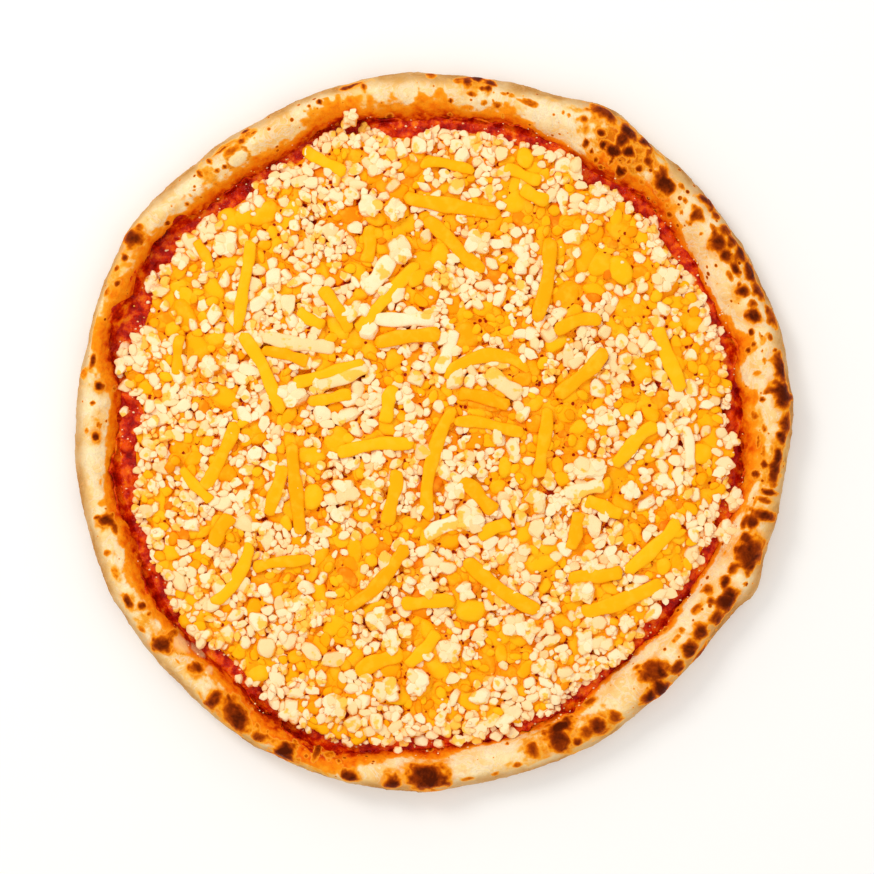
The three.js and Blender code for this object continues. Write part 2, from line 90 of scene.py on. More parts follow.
# Blisters and scorched spots on the rim: direction in degrees, distance from the middle, half-length round
# the rim, half-width across it, and how dark it burnt, up to 1.
BLISTERS = [
    (1.5, 145.6, 5, 3, 0.8), (6.3, 145.2, 5.5, 3.6, 0.95), (5.7, 148.8, 1.2, 2, 0.8),
    (8.3, 142.6, 1.2, 1.6, 0.6), (10.9, 145.6, 6, 2.6, 0.9), (13.7, 145.4, 0.9, 0.9, 0.7),
    (16, 145, 1.3, 0.9, 0.5), (14.2, 140.5, 0.7, 0.5, 0.5), (12.2, 140.2, 1.2, 0.6, 0.45),
    (10.4, 136.8, 1.2, 1.6, 0.4), (6.8, 139, 0.7, 0.7, 0.65), (5.8, 137.7, 0.9, 1.2, 0.7),
    (3.2, 134.5, 1.4, 1.4, 0.5), (17.6, 138.1, 1.4, 1.2, 0.8), (15.4, 138, 0.9, 0.9, 0.7),
    (14.6, 135.6, 1.1, 1, 0.75), (16.5, 141, 2.2, 0.7, 0.35), (19.3, 148, 4.8, 2.1, 0.72),
    (20.1, 141.6, 3.2, 3, 0.95), (20.7, 138.6, 1.4, 1.8, 0.7), (22.1, 142.6, 1.6, 2.2, 0.6),
    (24.7, 141.2, 2.2, 2.4, 0.85), (25.9, 140.6, 0.9, 1, 0.7), (23.3, 148, 4.6, 2.4, 0.85),
    (26.9, 148.4, 4.4, 2.6, 0.95), (30.3, 147.6, 3.8, 2.6, 0.85), (32.6, 146.6, 2.6, 2.3, 0.8),
    (34.8, 147.1, 3, 2.4, 0.75), (28.4, 142.8, 2.7, 2.1, 0.8), (28.2, 138.7, 2.6, 1.2, 0.4),
    (31.2, 141.4, 3, 2.6, 0.8), (33.5, 141.8, 4.2, 3.2, 0.9), (37.3, 147.4, 2.2, 2, 0.7),
    (40.2, 148.2, 4.2, 2.4, 0.85), (39.6, 141.7, 3, 2.4, 0.8), (36.4, 143.4, 1.2, 0.8, 0.5),
    (36.6, 138.8, 0.9, 0.9, 0.4), (39.2, 137.8, 0.8, 0.8, 0.5), (47.5, 141, 5.2, 3.2, 0.95),
    (48.6, 143.6, 1.6, 2, 0.7), (43, 141.8, 1.2, 0.8, 0.5), (41.9, 137.8, 0.9, 0.8, 0.6),
    (42.7, 134, 1.3, 1, 0.65), (45.1, 144.8, 1.6, 1, 0.45), (44.2, 135.6, 1, 0.8, 0.5),
    (47.7, 133.6, 0.8, 0.8, 0.5), (50.4, 135.4, 1, 1, 0.5), (54.1, 149.2, 2.8, 2.2, 0.9),
    (57.4, 148.4, 4.4, 3, 0.95), (61.8, 149.8, 5.4, 2.8, 0.85), (57.3, 143.8, 2.6, 3, 0.9),
    (55.6, 141.2, 2, 2.2, 1), (57.7, 138.8, 3.4, 1.8, 1), (59.9, 138.6, 1.6, 1.5, 0.95),
    (61, 142.4, 2, 1.4, 0.85), (62.1, 136.4, 1.5, 1.7, 0.9), (60.8, 134.8, 1, 1, 0.9),
    (59.3, 133.4, 0.9, 1, 0.8), (54.3, 134.6, 1.9, 2.6, 0.95), (54.5, 138.6, 1, 1, 0.7),
    (52.3, 138.8, 1.4, 1.4, 0.75), (51.9, 142.8, 2, 1.4, 0.75), (52.4, 146, 1, 2.6, 0.6),
    (56.9, 135.4, 0.8, 1.4, 0.7), (58, 132, 0.9, 0.8, 0.7), (64.6, 144, 2.2, 1.6, 0.75),
    (62.2, 147.6, 1.6, 1.2, 0.6), (66.9, 142.8, 0.8, 0.8, 0.4), (68.1, 143, 0.6, 0.6, 0.4),
    (73.8, 142.4, 3.4, 1.3, 0.45), (77.2, 144.4, 1.6, 1.2, 0.35), (79.3, 138.2, 1.6, 1.3, 0.55),
    (81.5, 139, 1.2, 1.1, 0.5), (77.9, 135.2, 0.8, 0.8, 0.5), (79.9, 140.2, 0.6, 0.6, 0.4),
    (78.6, 144.2, 1.4, 0.9, 0.45), (80.9, 144.6, 1.4, 1.4, 0.7), (81, 148, 2.6, 1.8, 0.8),
    (83.3, 149, 3.6, 1.6, 0.95), (84.6, 146.8, 2, 2.8, 0.85), (82, 144, 1.2, 1.2, 0.6),
    (83.5, 141.6, 1.8, 1.2, 0.6), (86.1, 147, 2, 1.6, 0.5), (90.3, 148.6, 2, 1.1, 0.6),
    (87.3, 138.4, 0.9, 0.9, 0.8), (87.2, 133.6, 0.9, 0.9, 0.6), (97.9, 133.6, 1.4, 1.4, 0.7),
    (101.5, 145.8, 1.2, 1.6, 0.7), (103.6, 148.2, 4.6, 1.3, 0.75), (109, 145.2, 1, 1, 0.85),
    (110.7, 145.2, 0.6, 0.6, 0.7), (109.9, 142.8, 0.5, 0.5, 0.6), (121.9, 148.2, 2, 1.2, 0.8),
    (120.8, 145.6, 1.4, 0.8, 0.6), (123.4, 145, 1.2, 1, 0.6), (127, 146.6, 4.4, 0.6, 0.75),
    (125.5, 143.8, 3.2, 1.4, 0.5), (128.3, 140.2, 1, 1.1, 0.8), (129.6, 141, 1, 0.9, 0.65),
    (129.7, 146, 1, 1.4, 0.6), (132.2, 144.8, 1, 1.8, 0.6), (134.8, 138, 0.5, 0.5, 0.6),
    (134.6, 141.2, 0.5, 0.5, 0.5), (137, 140, 1, 0.9, 0.8), (142, 141.6, 0.9, 1, 0.85),
    (145, 148.4, 1.6, 1.1, 0.5), (147.4, 148.4, 4, 2.8, 0.92), (150.5, 147, 1.2, 1, 0.75),
    (152.7, 148.2, 1.1, 1, 0.6), (154.9, 145.4, 1.1, 1, 0.8), (156.7, 147.7, 2.2, 0.7, 0.45),
    (167.7, 144.6, 2.6, 1.2, 0.8), (170.4, 148.6, 1.8, 1.6, 0.4), (172, 140.6, 1.8, 1.7, 0.85),
    (172.1, 135.4, 0.9, 0.9, 0.6), (174.8, 142.2, 0.9, 1, 0.6), (178.5, 139.2, 1, 0.9, 0.5),
    (179.5, 144.4, 1, 0.8, 0.5), (180.7, 140.4, 1.7, 1.8, 0.95), (194.7, 141.8, 2.2, 2.6, 0.9),
    (196.5, 139, 3, 1.2, 0.6), (194, 144, 1, 1.6, 0.7), (200, 144.8, 1, 1.2, 0.4),
    (203.8, 144.6, 3.4, 1.2, 0.35), (208.8, 144.6, 3, 1.3, 0.85), (210.6, 140.8, 1.7, 1.6, 0.9),
    (213.7, 146, 1.8, 1.1, 0.55), (212.5, 140.6, 0.9, 1, 0.5), (217.8, 143.6, 3.6, 3.2, 0.95),
    (217.4, 138, 1.4, 3, 0.5), (221.6, 142.6, 2, 0.6, 0.35), (224.7, 138.8, 3, 2.6, 0.75),
    (230.3, 144, 3, 4, 0.85), (234.6, 142.8, 6.6, 4.6, 0.85), (239.9, 145.6, 2.4, 2, 0.7),
    (237.3, 134.6, 1.2, 1, 0.8), (244.8, 146, 5, 3.8, 0.95), (243.6, 136.8, 2, 1, 0.8),
    (245.6, 137.4, 1, 1, 0.7), (249.8, 141.2, 1.4, 4, 0.85), (252, 141, 2, 2, 0.4),
    (241, 141.4, 0.7, 0.7, 0.5), (253.7, 142.6, 0.8, 0.8, 0.6), (256.3, 146, 3.4, 1.8, 0.85),
    (263.1, 145.8, 4, 2.6, 0.92), (268.8, 142.6, 8.6, 5, 0.95), (269.4, 132.8, 1, 1, 0.8),
    (275.5, 145, 3, 1.2, 0.4), (280.1, 144.8, 1.4, 0.9, 0.55), (284.1, 142, 2, 1, 0.5),
    (283.3, 133, 0.6, 0.6, 0.6), (287.2, 137.6, 2.6, 3.2, 0.6), (292.5, 138, 4.4, 4.4, 0.85),
    (293.3, 133.4, 5, 2.8, 0.95), (294.7, 141.4, 2, 2, 0.85), (290, 133.6, 1, 1.6, 0.5),
    (297, 139.4, 3, 2.8, 0.65), (299.3, 139.2, 3.4, 3.4, 0.85), (302.4, 139.4, 2.6, 2.8, 0.6),
    (300.1, 130, 2.2, 1.4, 0.55), (296, 127, 1.2, 1, 0.8), (307.2, 140.6, 0.6, 0.6, 0.4),
    (309.3, 141, 3.6, 3, 0.9), (311.6, 141.2, 3.8, 3.8, 0.95), (312.7, 134.2, 5.4, 4, 0.85),
    (313.6, 136, 2, 2.4, 0.95), (311, 129.8, 2, 1.2, 0.5), (316.1, 139.8, 3.2, 2.4, 0.75),
    (319.7, 138.6, 3.4, 3, 0.95), (323.2, 137.8, 4, 3.2, 0.88), (320.4, 143.6, 5.4, 1.6, 0.7),
    (319.5, 132.2, 2.4, 1, 0.45), (321.4, 131.6, 1.4, 1.4, 0.5), (319.5, 127, 1.4, 1, 0.55),
    (326.9, 140, 3.6, 2.8, 0.8), (330.3, 140, 5.4, 3.6, 0.95), (333, 136, 3.4, 2, 0.85),
    (335.4, 136.8, 3, 2, 0.8), (328.8, 134.2, 1.6, 1.8, 0.6), (326, 131.2, 3, 1.4, 0.55),
    (330.6, 131.4, 2.2, 2.2, 0.7), (334, 143.6, 1, 1, 0.5), (335.6, 143.4, 0.9, 0.9, 0.5),
    (339.2, 140, 7.2, 5.4, 0.9), (341.3, 136.6, 2.4, 2, 0.9), (344.6, 137.6, 3, 2.6, 0.8),
    (346, 141, 2.4, 4.4, 0.85), (343.9, 134.4, 3, 1.2, 0.6), (348.4, 139.4, 1.2, 2.2, 0.7),
    (350, 140.6, 1.4, 3.4, 0.85), (348, 136.6, 2.2, 0.8, 0.4), (353.5, 141.8, 5, 2, 0.85),
    (356.2, 142.8, 4, 1.8, 0.9), (359.4, 143.6, 3, 2.4, 0.9), (352.9, 134.8, 1.4, 1.6, 0.8),
    (354.7, 137.8, 2, 1.2, 0.7), (351.6, 130.2, 1, 1, 0.7), (356.8, 137.4, 2.4, 0.7, 0.55),
    (358.6, 135.2, 2.6, 0.6, 0.6), (0.6, 137.2, 2.2, 0.6, 0.5),
]

# Patches toasted orange and brown without rising: as the blisters, with their strength last.
TOASTED = [
    (24.3, 137.6, 5, 2.4, 0.45), (46, 136, 12, 4.5, 0.5), (57, 141, 15, 10, 0.95),
    (66.5, 146.6, 4, 1.6, 0.45), (70.5, 147, 3, 1.5, 0.4), (75, 139.4, 4, 2, 0.3), (83, 146, 9, 5, 0.5),
    (88, 133.6, 6, 4, 0.6), (98, 134, 5, 4, 0.7), (104, 138, 10, 5, 0.5), (103, 148, 6, 2.4, 0.6),
    (121.5, 146.4, 4, 2.5, 0.7), (126.5, 147, 5.5, 1.2, 0.8), (125.5, 143.6, 4.6, 2.4, 0.7),
    (131, 141, 3, 5, 0.6), (147, 147, 6, 4, 0.6), (153, 147.6, 7, 2, 0.5), (160, 143, 12, 2.4, 0.5),
    (167.6, 144.4, 5, 2.4, 0.7), (172, 140.6, 4, 4, 0.5), (178, 139.4, 5, 3, 0.4),
    (181, 140.4, 3.5, 3.4, 0.5), (195, 141.5, 4, 4, 0.7), (196.6, 138.8, 4, 2, 0.6),
    (204, 144.6, 5, 2, 0.5), (209, 144.4, 5, 2.6, 0.6), (213, 144, 5, 5, 0.45), (206, 138, 6, 3, 0.5),
    (218, 141, 6, 7, 0.7), (225, 139, 5, 5, 0.6), (234, 142, 13, 7, 0.75), (241, 144, 5, 4, 0.7),
    (246, 144, 6, 8, 0.8), (251, 141, 14, 8, 0.8), (256.5, 146, 5, 3, 0.7), (263, 145, 5, 4.5, 0.6),
    (269, 142, 10, 7.5, 0.7), (275.5, 145, 4, 2, 0.5), (283, 142, 4, 2.4, 0.4), (287.5, 137, 6, 6, 0.6),
    (293.5, 137, 9, 8, 0.75), (300, 139, 9, 5, 0.7), (300, 130, 4, 2.4, 0.6), (312, 138, 8, 9, 0.39),
    (320.5, 132, 7, 2.2, 0.33), (321, 139, 12, 5, 0.28), (328, 132, 7, 2.4, 0.33), (331, 138, 12, 6, 0.33),
    (340, 140, 11, 7, 0.44), (347, 139, 9, 7, 0.33), (354, 138, 7, 6, 0.6), (357, 143, 8, 4, 0.7),
    (2, 136, 6, 1.4, 0.55), (358, 133, 5, 1.2, 0.6),
]

# How ragged the burnt and soaked edges are: share of their reach, size of the bites in millimetres, seed.
RAGGEDNESS = [(0.28, 4, 2), (0.26, 2.2, 3), (0.16, 1.1, 4)]

# Pale caps of bubbles that the heat missed: direction, distance, half-length and half-width.
CAPS = [(125.5, 139.6, 4.4, 3), (219.8, 137.2, 4.6, 2.6), (226.6, 137, 1.6, 2.4), (223, 134.6, 3.6, 1.6)]

# How far up the inner slope the sauce and fat have soaked, and where the dough is thickly freckled.
SOAK_REACH = 3.4
SOAK_SWELLS = [
    (0, 4, 8), (6.5, 2.5, 7), (16, 2.8, 13), (21, 2, 2), (46, 6, 8), (57, 5, 9), (77, 6, 8), (89, 4, 9),
    (92.6, 1.2, 6), (97, 3, 5), (107, 8, 11), (124, 7, 6), (134, 6, 5), (152, 12, 7), (165, 8, 8),
    (190, 12, 7), (207, 8, 7), (222, 9, 6), (237, 6, 9), (250, 9, 15), (270, 5, 4), (297, 4, 4),
    (321, 4, 4), (350, 5, 6), (356, 3, 6),
]
FRECKLE_SWELLS = [
    (40, 28, 0.9), (330, 32, 0.8), (78, 10, 0.4), (110, 12, 0.6), (128, 14, 0.5), (165, 20, 0.5),
    (190, 12, 0.3), (250, 12, 1),
]


def swell(swells, degrees):
    """Sum of the swells at each direction."""
    total = np.zeros_like(degrees, float)
    for at, half_width, height in swells:
        away = (degrees - at + 180) % 360 - 180
        total += height * np.exp(-((away / half_width) ** 2))
    return total


def smooth_noise(points, size, seed):
    """Noise from -1 to 1 at each point, with lumps of about that size."""
    place = points / size + 31.7 * seed
    cell = np.floor(place).astype(np.int64)
    share = place - cell
    share = share * share * (3 - 2 * share)
    total = np.zeros(len(points))
    for corner in itertools.product((0, 1), repeat=3):
        x, y, z = (cell + corner).T
        mixed = (x * 73856093 ^ y * 19349663 ^ z * 83492791 ^ seed * 2654435761) & 0xFFFFFFFF
        mixed = ((mixed ^ (mixed >> 15)) * 2246822519) & 0xFFFFFFFF
        mixed = ((mixed ^ (mixed >> 13)) * 3266489917) & 0xFFFFFFFF
        value = (mixed ^ (mixed >> 16)) / 0xFFFFFFFF * 2 - 1
        total += value * np.prod(np.where(corner, share, 1 - share), axis=1)
    return total


def layered_noise(points, layers):
    """Sum of layers of noise, each with its height, the size of its lumps and its seed."""
    return sum(height * smooth_noise(points, size, seed) for height, size, seed in layers)


def smooth_step(value, low, high):
    """How far a value has come from low to high, from 0 to 1, eased at both ends."""
    share = np.clip((value - low) / (high - low), 0, 1)
    return share * share * (3 - 2 * share)


def rim_curve(across):
    """Points and slopes of the smooth curve through the rim's section."""
    segments = len(RIM_SECTION) - 1
    place = np.minimum(across * segments, segments - 1e-9)
    start = place.astype(int)
    share = (place - start)[:, None]
    before, after, beyond = (np.clip(start + step, 0, segments) for step in (-1, 1, 2))
    p0, p1, p2, p3 = (RIM_SECTION[i] for i in (before, start, after, beyond))
    v0, v1 = (p2 - p0) / 2, (p3 - p1) / 2
    cubic, square = 2 * p1 - 2 * p2 + v0 + v1, -3 * p1 + 3 * p2 - 2 * v0 - v1
    return ((cubic * share + square) * share + v0) * share + p1, (3 * cubic * share + 2 * square) * share + v0


def ring_points(radius, degrees, height):
    """Points at each distance and direction from the middle, as rows of x, y, z."""
    turn = np.radians(degrees)
    return np.stack(np.broadcast_arrays(radius * np.cos(turn), radius * np.sin(turn), height), axis=-1)


def put_in_scene(name, data):
    made = bpy.data.objects.new(name, data)
    bpy.context.scene.collection.objects.link(made)
    return made


def make_piece(name, points, faces, masks, material, slot, *nodes):
    """One smooth mesh from points and faces, with a mask for each value that its material reads."""
    mesh = bpy.data.meshes.new(name)
    corners = np.concatenate([part.ravel() for part in faces])
    counts = np.concatenate([np.full(len(part), part.shape[1]) for part in faces])
    mesh.vertices.add(len(points))
    mesh.vertices.foreach_set("co", (points * MM).astype(np.float32).ravel())
    mesh.loops.add(len(corners))
    mesh.loops.foreach_set("vertex_index", corners.astype(np.int32))
    mesh.polygons.add(len(counts))
    mesh.polygons.foreach_set("loop_start", (np.cumsum(counts) - counts).astype(np.int32))
    mesh.update(calc_edges=True)
    mesh.shade_smooth()
    for label, values in masks.items():
        mesh.attributes.new(label, "FLOAT", "POINT").data.foreach_set("value", values.astype(np.float32))
    mesh.materials.append(material)
    piece = put_in_scene(name, mesh)
    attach(piece, "root")
    if nodes:
        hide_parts(*nodes)
    return piece


def ringed_faces(rings, steps):
    """Faces between rings of points, from the middle of the top over the edge to that of the underside."""
    row, step = np.meshgrid(np.arange(rings - 1), np.arange(steps), indexing="ij")
    a, b = row * steps + step, row * steps + (step + 1) % steps
    quads = np.stack((a, a + steps, b + steps, b), axis=-1).reshape(-1, 4)
    step = np.arange(steps)
    following, last = (step + 1) % steps, (rings - 1) * steps
    middle = np.full(steps, rings * steps)
    top = np.stack((middle, step, following), axis=-1)
    underside = np.stack((middle + 1, last + following, last + step), axis=-1)
    return [quads, top, underside]


def rim_radius(degrees):
    return RIM_RADIUS + swell(RIM_SWELLS, degrees)


def well_radius(degrees):
    return WELL_RADIUS + swell(WELL_SWELLS, degrees)


def node(tree, kind, inputs=None, **settings):
    """A shader node with its settings and its inputs, each a value or another node's output."""
    made = tree.nodes.new("ShaderNode" + kind)
    for key, value in settings.items():
        setattr(made, key, value)
    for key, value in (inputs or {}).items():
        if isinstance(value, bpy.types.NodeSocket):
            tree.links.new(value, made.inputs[key])
        else:
            made.inputs[key].default_value = value
    return made


def colour(code):
    """A colour written as in print, as the linear values that a shader takes."""
    values = [int(code[i:i + 2], 16) / 255 for i in (1, 3, 5)]
    return [v / 12.92 if v <= 0.04045 else ((v + 0.055) / 1.055) ** 2.4 for v in values] + [1]


def mask(tree, name):
    """The value that a piece's mesh carries at each point under that name."""
    return node(tree, "Attribute", attribute_name=name).outputs["Fac"]


def mix(tree, share, under, over, how="MIX"):
    return node(tree, "Mix", {0: share, 6: under, 7: over}, data_type="RGBA", blend_type=how).outputs[2]


def maths(tree, how, first, second=0.0):
    return node(tree, "Math", {0: first, 1: second}, operation=how).outputs[0]


def between(tree, value, low, high, start=0.0, end=1.0):
    """Goes smoothly from start to end while the value goes from low to high."""
    inputs = {"Value": value, "From Min": low, "From Max": high, "To Min": start, "To Max": end}
    return node(tree, "MapRange", inputs, interpolation_type="SMOOTHSTEP").outputs[0]


def ramp(tree, value, stops):
    """Colours along a value, from pairs of a place and a colour."""
    made = node(tree, "ValToRGB", {0: value})
    elements = made.color_ramp.elements
    while len(elements) < len(stops):
        elements.new(0.5)
    for element, (place, code) in zip(elements, stops):
        element.position = place
        element.color = colour(code)
    return made.outputs[0]


def cloud(tree, size, detail=2.0, roughness=0.5, swirl=0.0):
    """Noise from 0 to 1 with lumps of that size in millimetres, fixed to the object."""
    place = node(tree, "TexCoord").outputs["Object"]
    return node(tree, "TexNoise", {
        "Vector": place, "Scale": 1 / (size * MM), "Detail": detail, "Roughness": roughness,
        "Distortion": swirl,
    }).outputs["Fac"]


def wandering(tree, noise, low, high):
    """A value that wanders from low to high with a cloud."""
    return between(tree, noise, 0.3, 0.7, low, high)


def new_group(name, inputs, outputs):
    """An empty node group with named sockets, and its input and output nodes."""
    group = bpy.data.node_groups.new(name, "ShaderNodeTree")
    for label, kind, value in inputs:
        socket = group.interface.new_socket(label, in_out="INPUT", socket_type="NodeSocket" + kind)
        socket.default_value = value
    for label, kind in outputs:
        group.interface.new_socket(label, in_out="OUTPUT", socket_type="NodeSocket" + kind)
    return group, group.nodes.new("NodeGroupInput").outputs, group.nodes.new("NodeGroupOutput").inputs


def new_material(name):
    made = bpy.data.materials.new(name)
    made.use_nodes = True
    return made.node_tree, made.node_tree.nodes["Principled BSDF"], made


def finish_material(tree, shader, base, roughness, height, depth, strength, specular):
    """Links a colour, a roughness and a relief to the shader, and sets how strongly it shines."""
    bump = node(tree, "Bump", {"Height": height, "Distance": depth * MM, "Strength": strength})
    for key, value in (("Base Color", base), ("Roughness", roughness), ("Normal", bump.outputs[0])):
        tree.links.new(value, shader.inputs[key])
    shader.inputs["Specular IOR Level"].default_value = specular


# Food isn't smooth up close: pits and grains, of the dough's crumb and of the melted cheddar.
grain, grain_in, grain_out = new_group(
    "food_grain", [("Size", "Float", 1.0), ("Pits", "Float", 0.5)], [("Height", "Float")]
)
grain_place = node(grain, "TexCoord").outputs["Object"]
grain_scale = maths(grain, "DIVIDE", 1 / MM, grain_in["Size"])
fine = node(grain, "TexNoise", {"Vector": grain_place, "Scale": grain_scale, "Detail": 2.0}).outputs["Fac"]
holes = node(grain, "TexVoronoi", {"Vector": grain_place, "Scale": grain_scale}).outputs["Distance"]
pits = maths(grain, "MULTIPLY", between(grain, holes, 0.3, 0.0), grain_in["Pits"])
grain.links.new(maths(grain, "SUBTRACT", fine, pits), grain_out["Height"])


def grain_height(tree, size, pits_share):
    """Relief of grains of that size in millimetres, and of pits of that depth between them."""
    return node(tree, "Group", {"Size": size, "Pits": pits_share}, node_tree=grain).outputs["Height"]


def make_dough():
    """The dough's points, faces and masks, in rings from the foot of the rim over it to the underside."""
    # The plain rim: its section carried round, and the way that its skin faces at each point.
    degrees = np.arange(RIM_STEPS)[None, :] * 360 / RIM_STEPS
    across = np.linspace(0, 1, RIM_ROWS + 1)
    section, slope = rim_curve(across)
    foot = well_radius(degrees)
    width = rim_radius(degrees) - foot
    crest = RIM_HEIGHT + swell(CREST_SWELLS, degrees)
    radius = foot + width * section[:, :1]
    height = crest * section[:, 1:]
    out, up = -slope[:, 1:] * crest, slope[:, :1] * width
    length = np.hypot(out, up)
    out, up = out / length, up / length
    base = ring_points(radius, degrees, height)
    flat = base.reshape(-1, 3)

    # What the blisters, toasted patches and pale caps leave on the skin near them.
    ragged = layered_noise(flat, RAGGEDNESS).reshape(radius.shape)
    widest = int(np.argmax(section[:, 0]))

    def reach_of(at, distance, half_length, half_width):
        """The columns near a spot, and how far off their points are in its half-sizes, even and ragged."""
        away = (degrees[0] - at + 180) % 360 - 180
        near = np.abs(np.radians(away)) * distance < 3 * half_length + 4
        column = int(round(at / 360 * RIM_STEPS)) % RIM_STEPS
        row = int(np.argmin(np.abs(radius[:widest, column] - distance)))
        offset = base[:, near] - base[row, column]
        turn = np.radians(at)
        along = offset @ (-np.sin(turn), np.cos(turn), 0)
        beside = np.hypot(offset @ (np.cos(turn), np.sin(turn), 0), 0.5 * offset[..., 2])
        reach = np.hypot(along / half_length, beside / half_width)
        return near, reach, reach * (1 + ragged[:, near])

    burnt, glow, toasted, pale, rise = (np.zeros(radius.shape) for _ in range(5))
    for *spot, darkness in BLISTERS:
        near, reach, rough = reach_of(*spot)
        burnt[:, near] = np.maximum(burnt[:, near], darkness * smooth_step(rough, 1.5, 0.35) ** 0.9)
        glow[:, near] = np.maximum(glow[:, near], darkness * np.exp(-(rough * 0.6) ** 2))
        rise[:, near] += BLISTER_RISE * spot[3] * np.exp(-(reach**2))
    for *spot, strength in TOASTED:
        near, reach, rough = reach_of(*spot)
        toasted[:, near] = np.maximum(toasted[:, near], strength * smooth_step(rough, 1.7, 0.3))
    for spot in CAPS:
        near, reach, rough = reach_of(*spot)
        pale[:, near] = np.maximum(pale[:, near], smooth_step(rough, 1.1, 0.7))
        toasted[:, near] = np.maximum(toasted[:, near], 0.9 * np.exp(-((rough - 1.2) / 0.25) ** 2))
        rise[:, near] += CAP_RISE * spot[3] * smooth_step(reach, 1.2, 0.4)

    # Waves, blisters, lumps and ridges push the skin out along the way that it faces.
    waves = sum(
        size * np.sin(np.radians(count * degrees + 360 * lean * across[:, None] + phase))
        for count, lean, size, phase in DOUGH_WAVES
    )
    swing = np.sin(np.pi * across)[:, None]
    lumps = layered_noise(flat, DOUGH_LUMPS)
    ridges = sum(
        ridge * (1 - np.abs(smooth_noise(flat, size, seed))) ** sharpness
        for ridge, size, seed, sharpness in DOUGH_RIDGES
    )
    fine_relief = (lumps + ridges).reshape(radius.shape)
    proud = (waves + rise) * swing + fine_relief * np.minimum(4 * swing, 1)
    radius = radius + out * proud
    height = np.maximum(height + up * proud, 0.4)
    height[0], height[-1] = BASE_THICKNESS, 0
    rim = ring_points(radius, degrees, height)

    # The underside lies flat, but for shallow dimples.
    floor_share = np.linspace(1, 0, UNDERSIDE_RINGS + 1)[1:-1, None]
    underside = ring_points(radius[-1] * floor_share, degrees, 0)
    deep, size, seed = UNDERSIDE_DIMPLES
    dimples = smooth_noise(underside.reshape(-1, 3), size, seed).reshape(underside.shape[:2])
    underside[..., 2] = deep * np.maximum(dimples, 0) * np.minimum(1, 12 * (1 - floor_share))
    rings = np.concatenate((rim, underside))
    points = np.concatenate((rings.reshape(-1, 3), [(0, 0, BASE_THICKNESS), (0, 0, 0)]))

    def spread(values, below=0.0, middles=(0.0, 0.0)):
        """One mask's values over the rim, then over the underside and at the two middle points."""
        tail = np.full(underside.shape[0] * RIM_STEPS, below)
        return np.concatenate((np.broadcast_to(values, rim.shape[:2]).ravel(), tail, middles))

    reach = SOAK_REACH + swell(SOAK_SWELLS, degrees)
    climb = np.hypot(radius - foot, 0.5 * (height - BASE_THICKNESS)) * (1 + 0.8 * ragged)
    soaked = np.clip(1 - climb / reach, 0, 1) * (section[:, :1] < 0.75)
    masks = {
        "burnt": spread(burnt),
        "glow": spread(glow),
        "toasted": spread(toasted * (1 - pale)),
        "pale": spread(pale),
        "soaked": spread(soaked),
        "freckled": spread(0.25 + swell(FRECKLE_SWELLS, degrees)),
        "side": spread(smooth_step(across, 0.45, 0.68)[:, None]),
        "underside": spread(smooth_step(across, 0.93, 0.99)[:, None], 1.0, (0.0, 1.0)),
    }
    return points, ringed_faces(len(rings), RIM_STEPS), masks


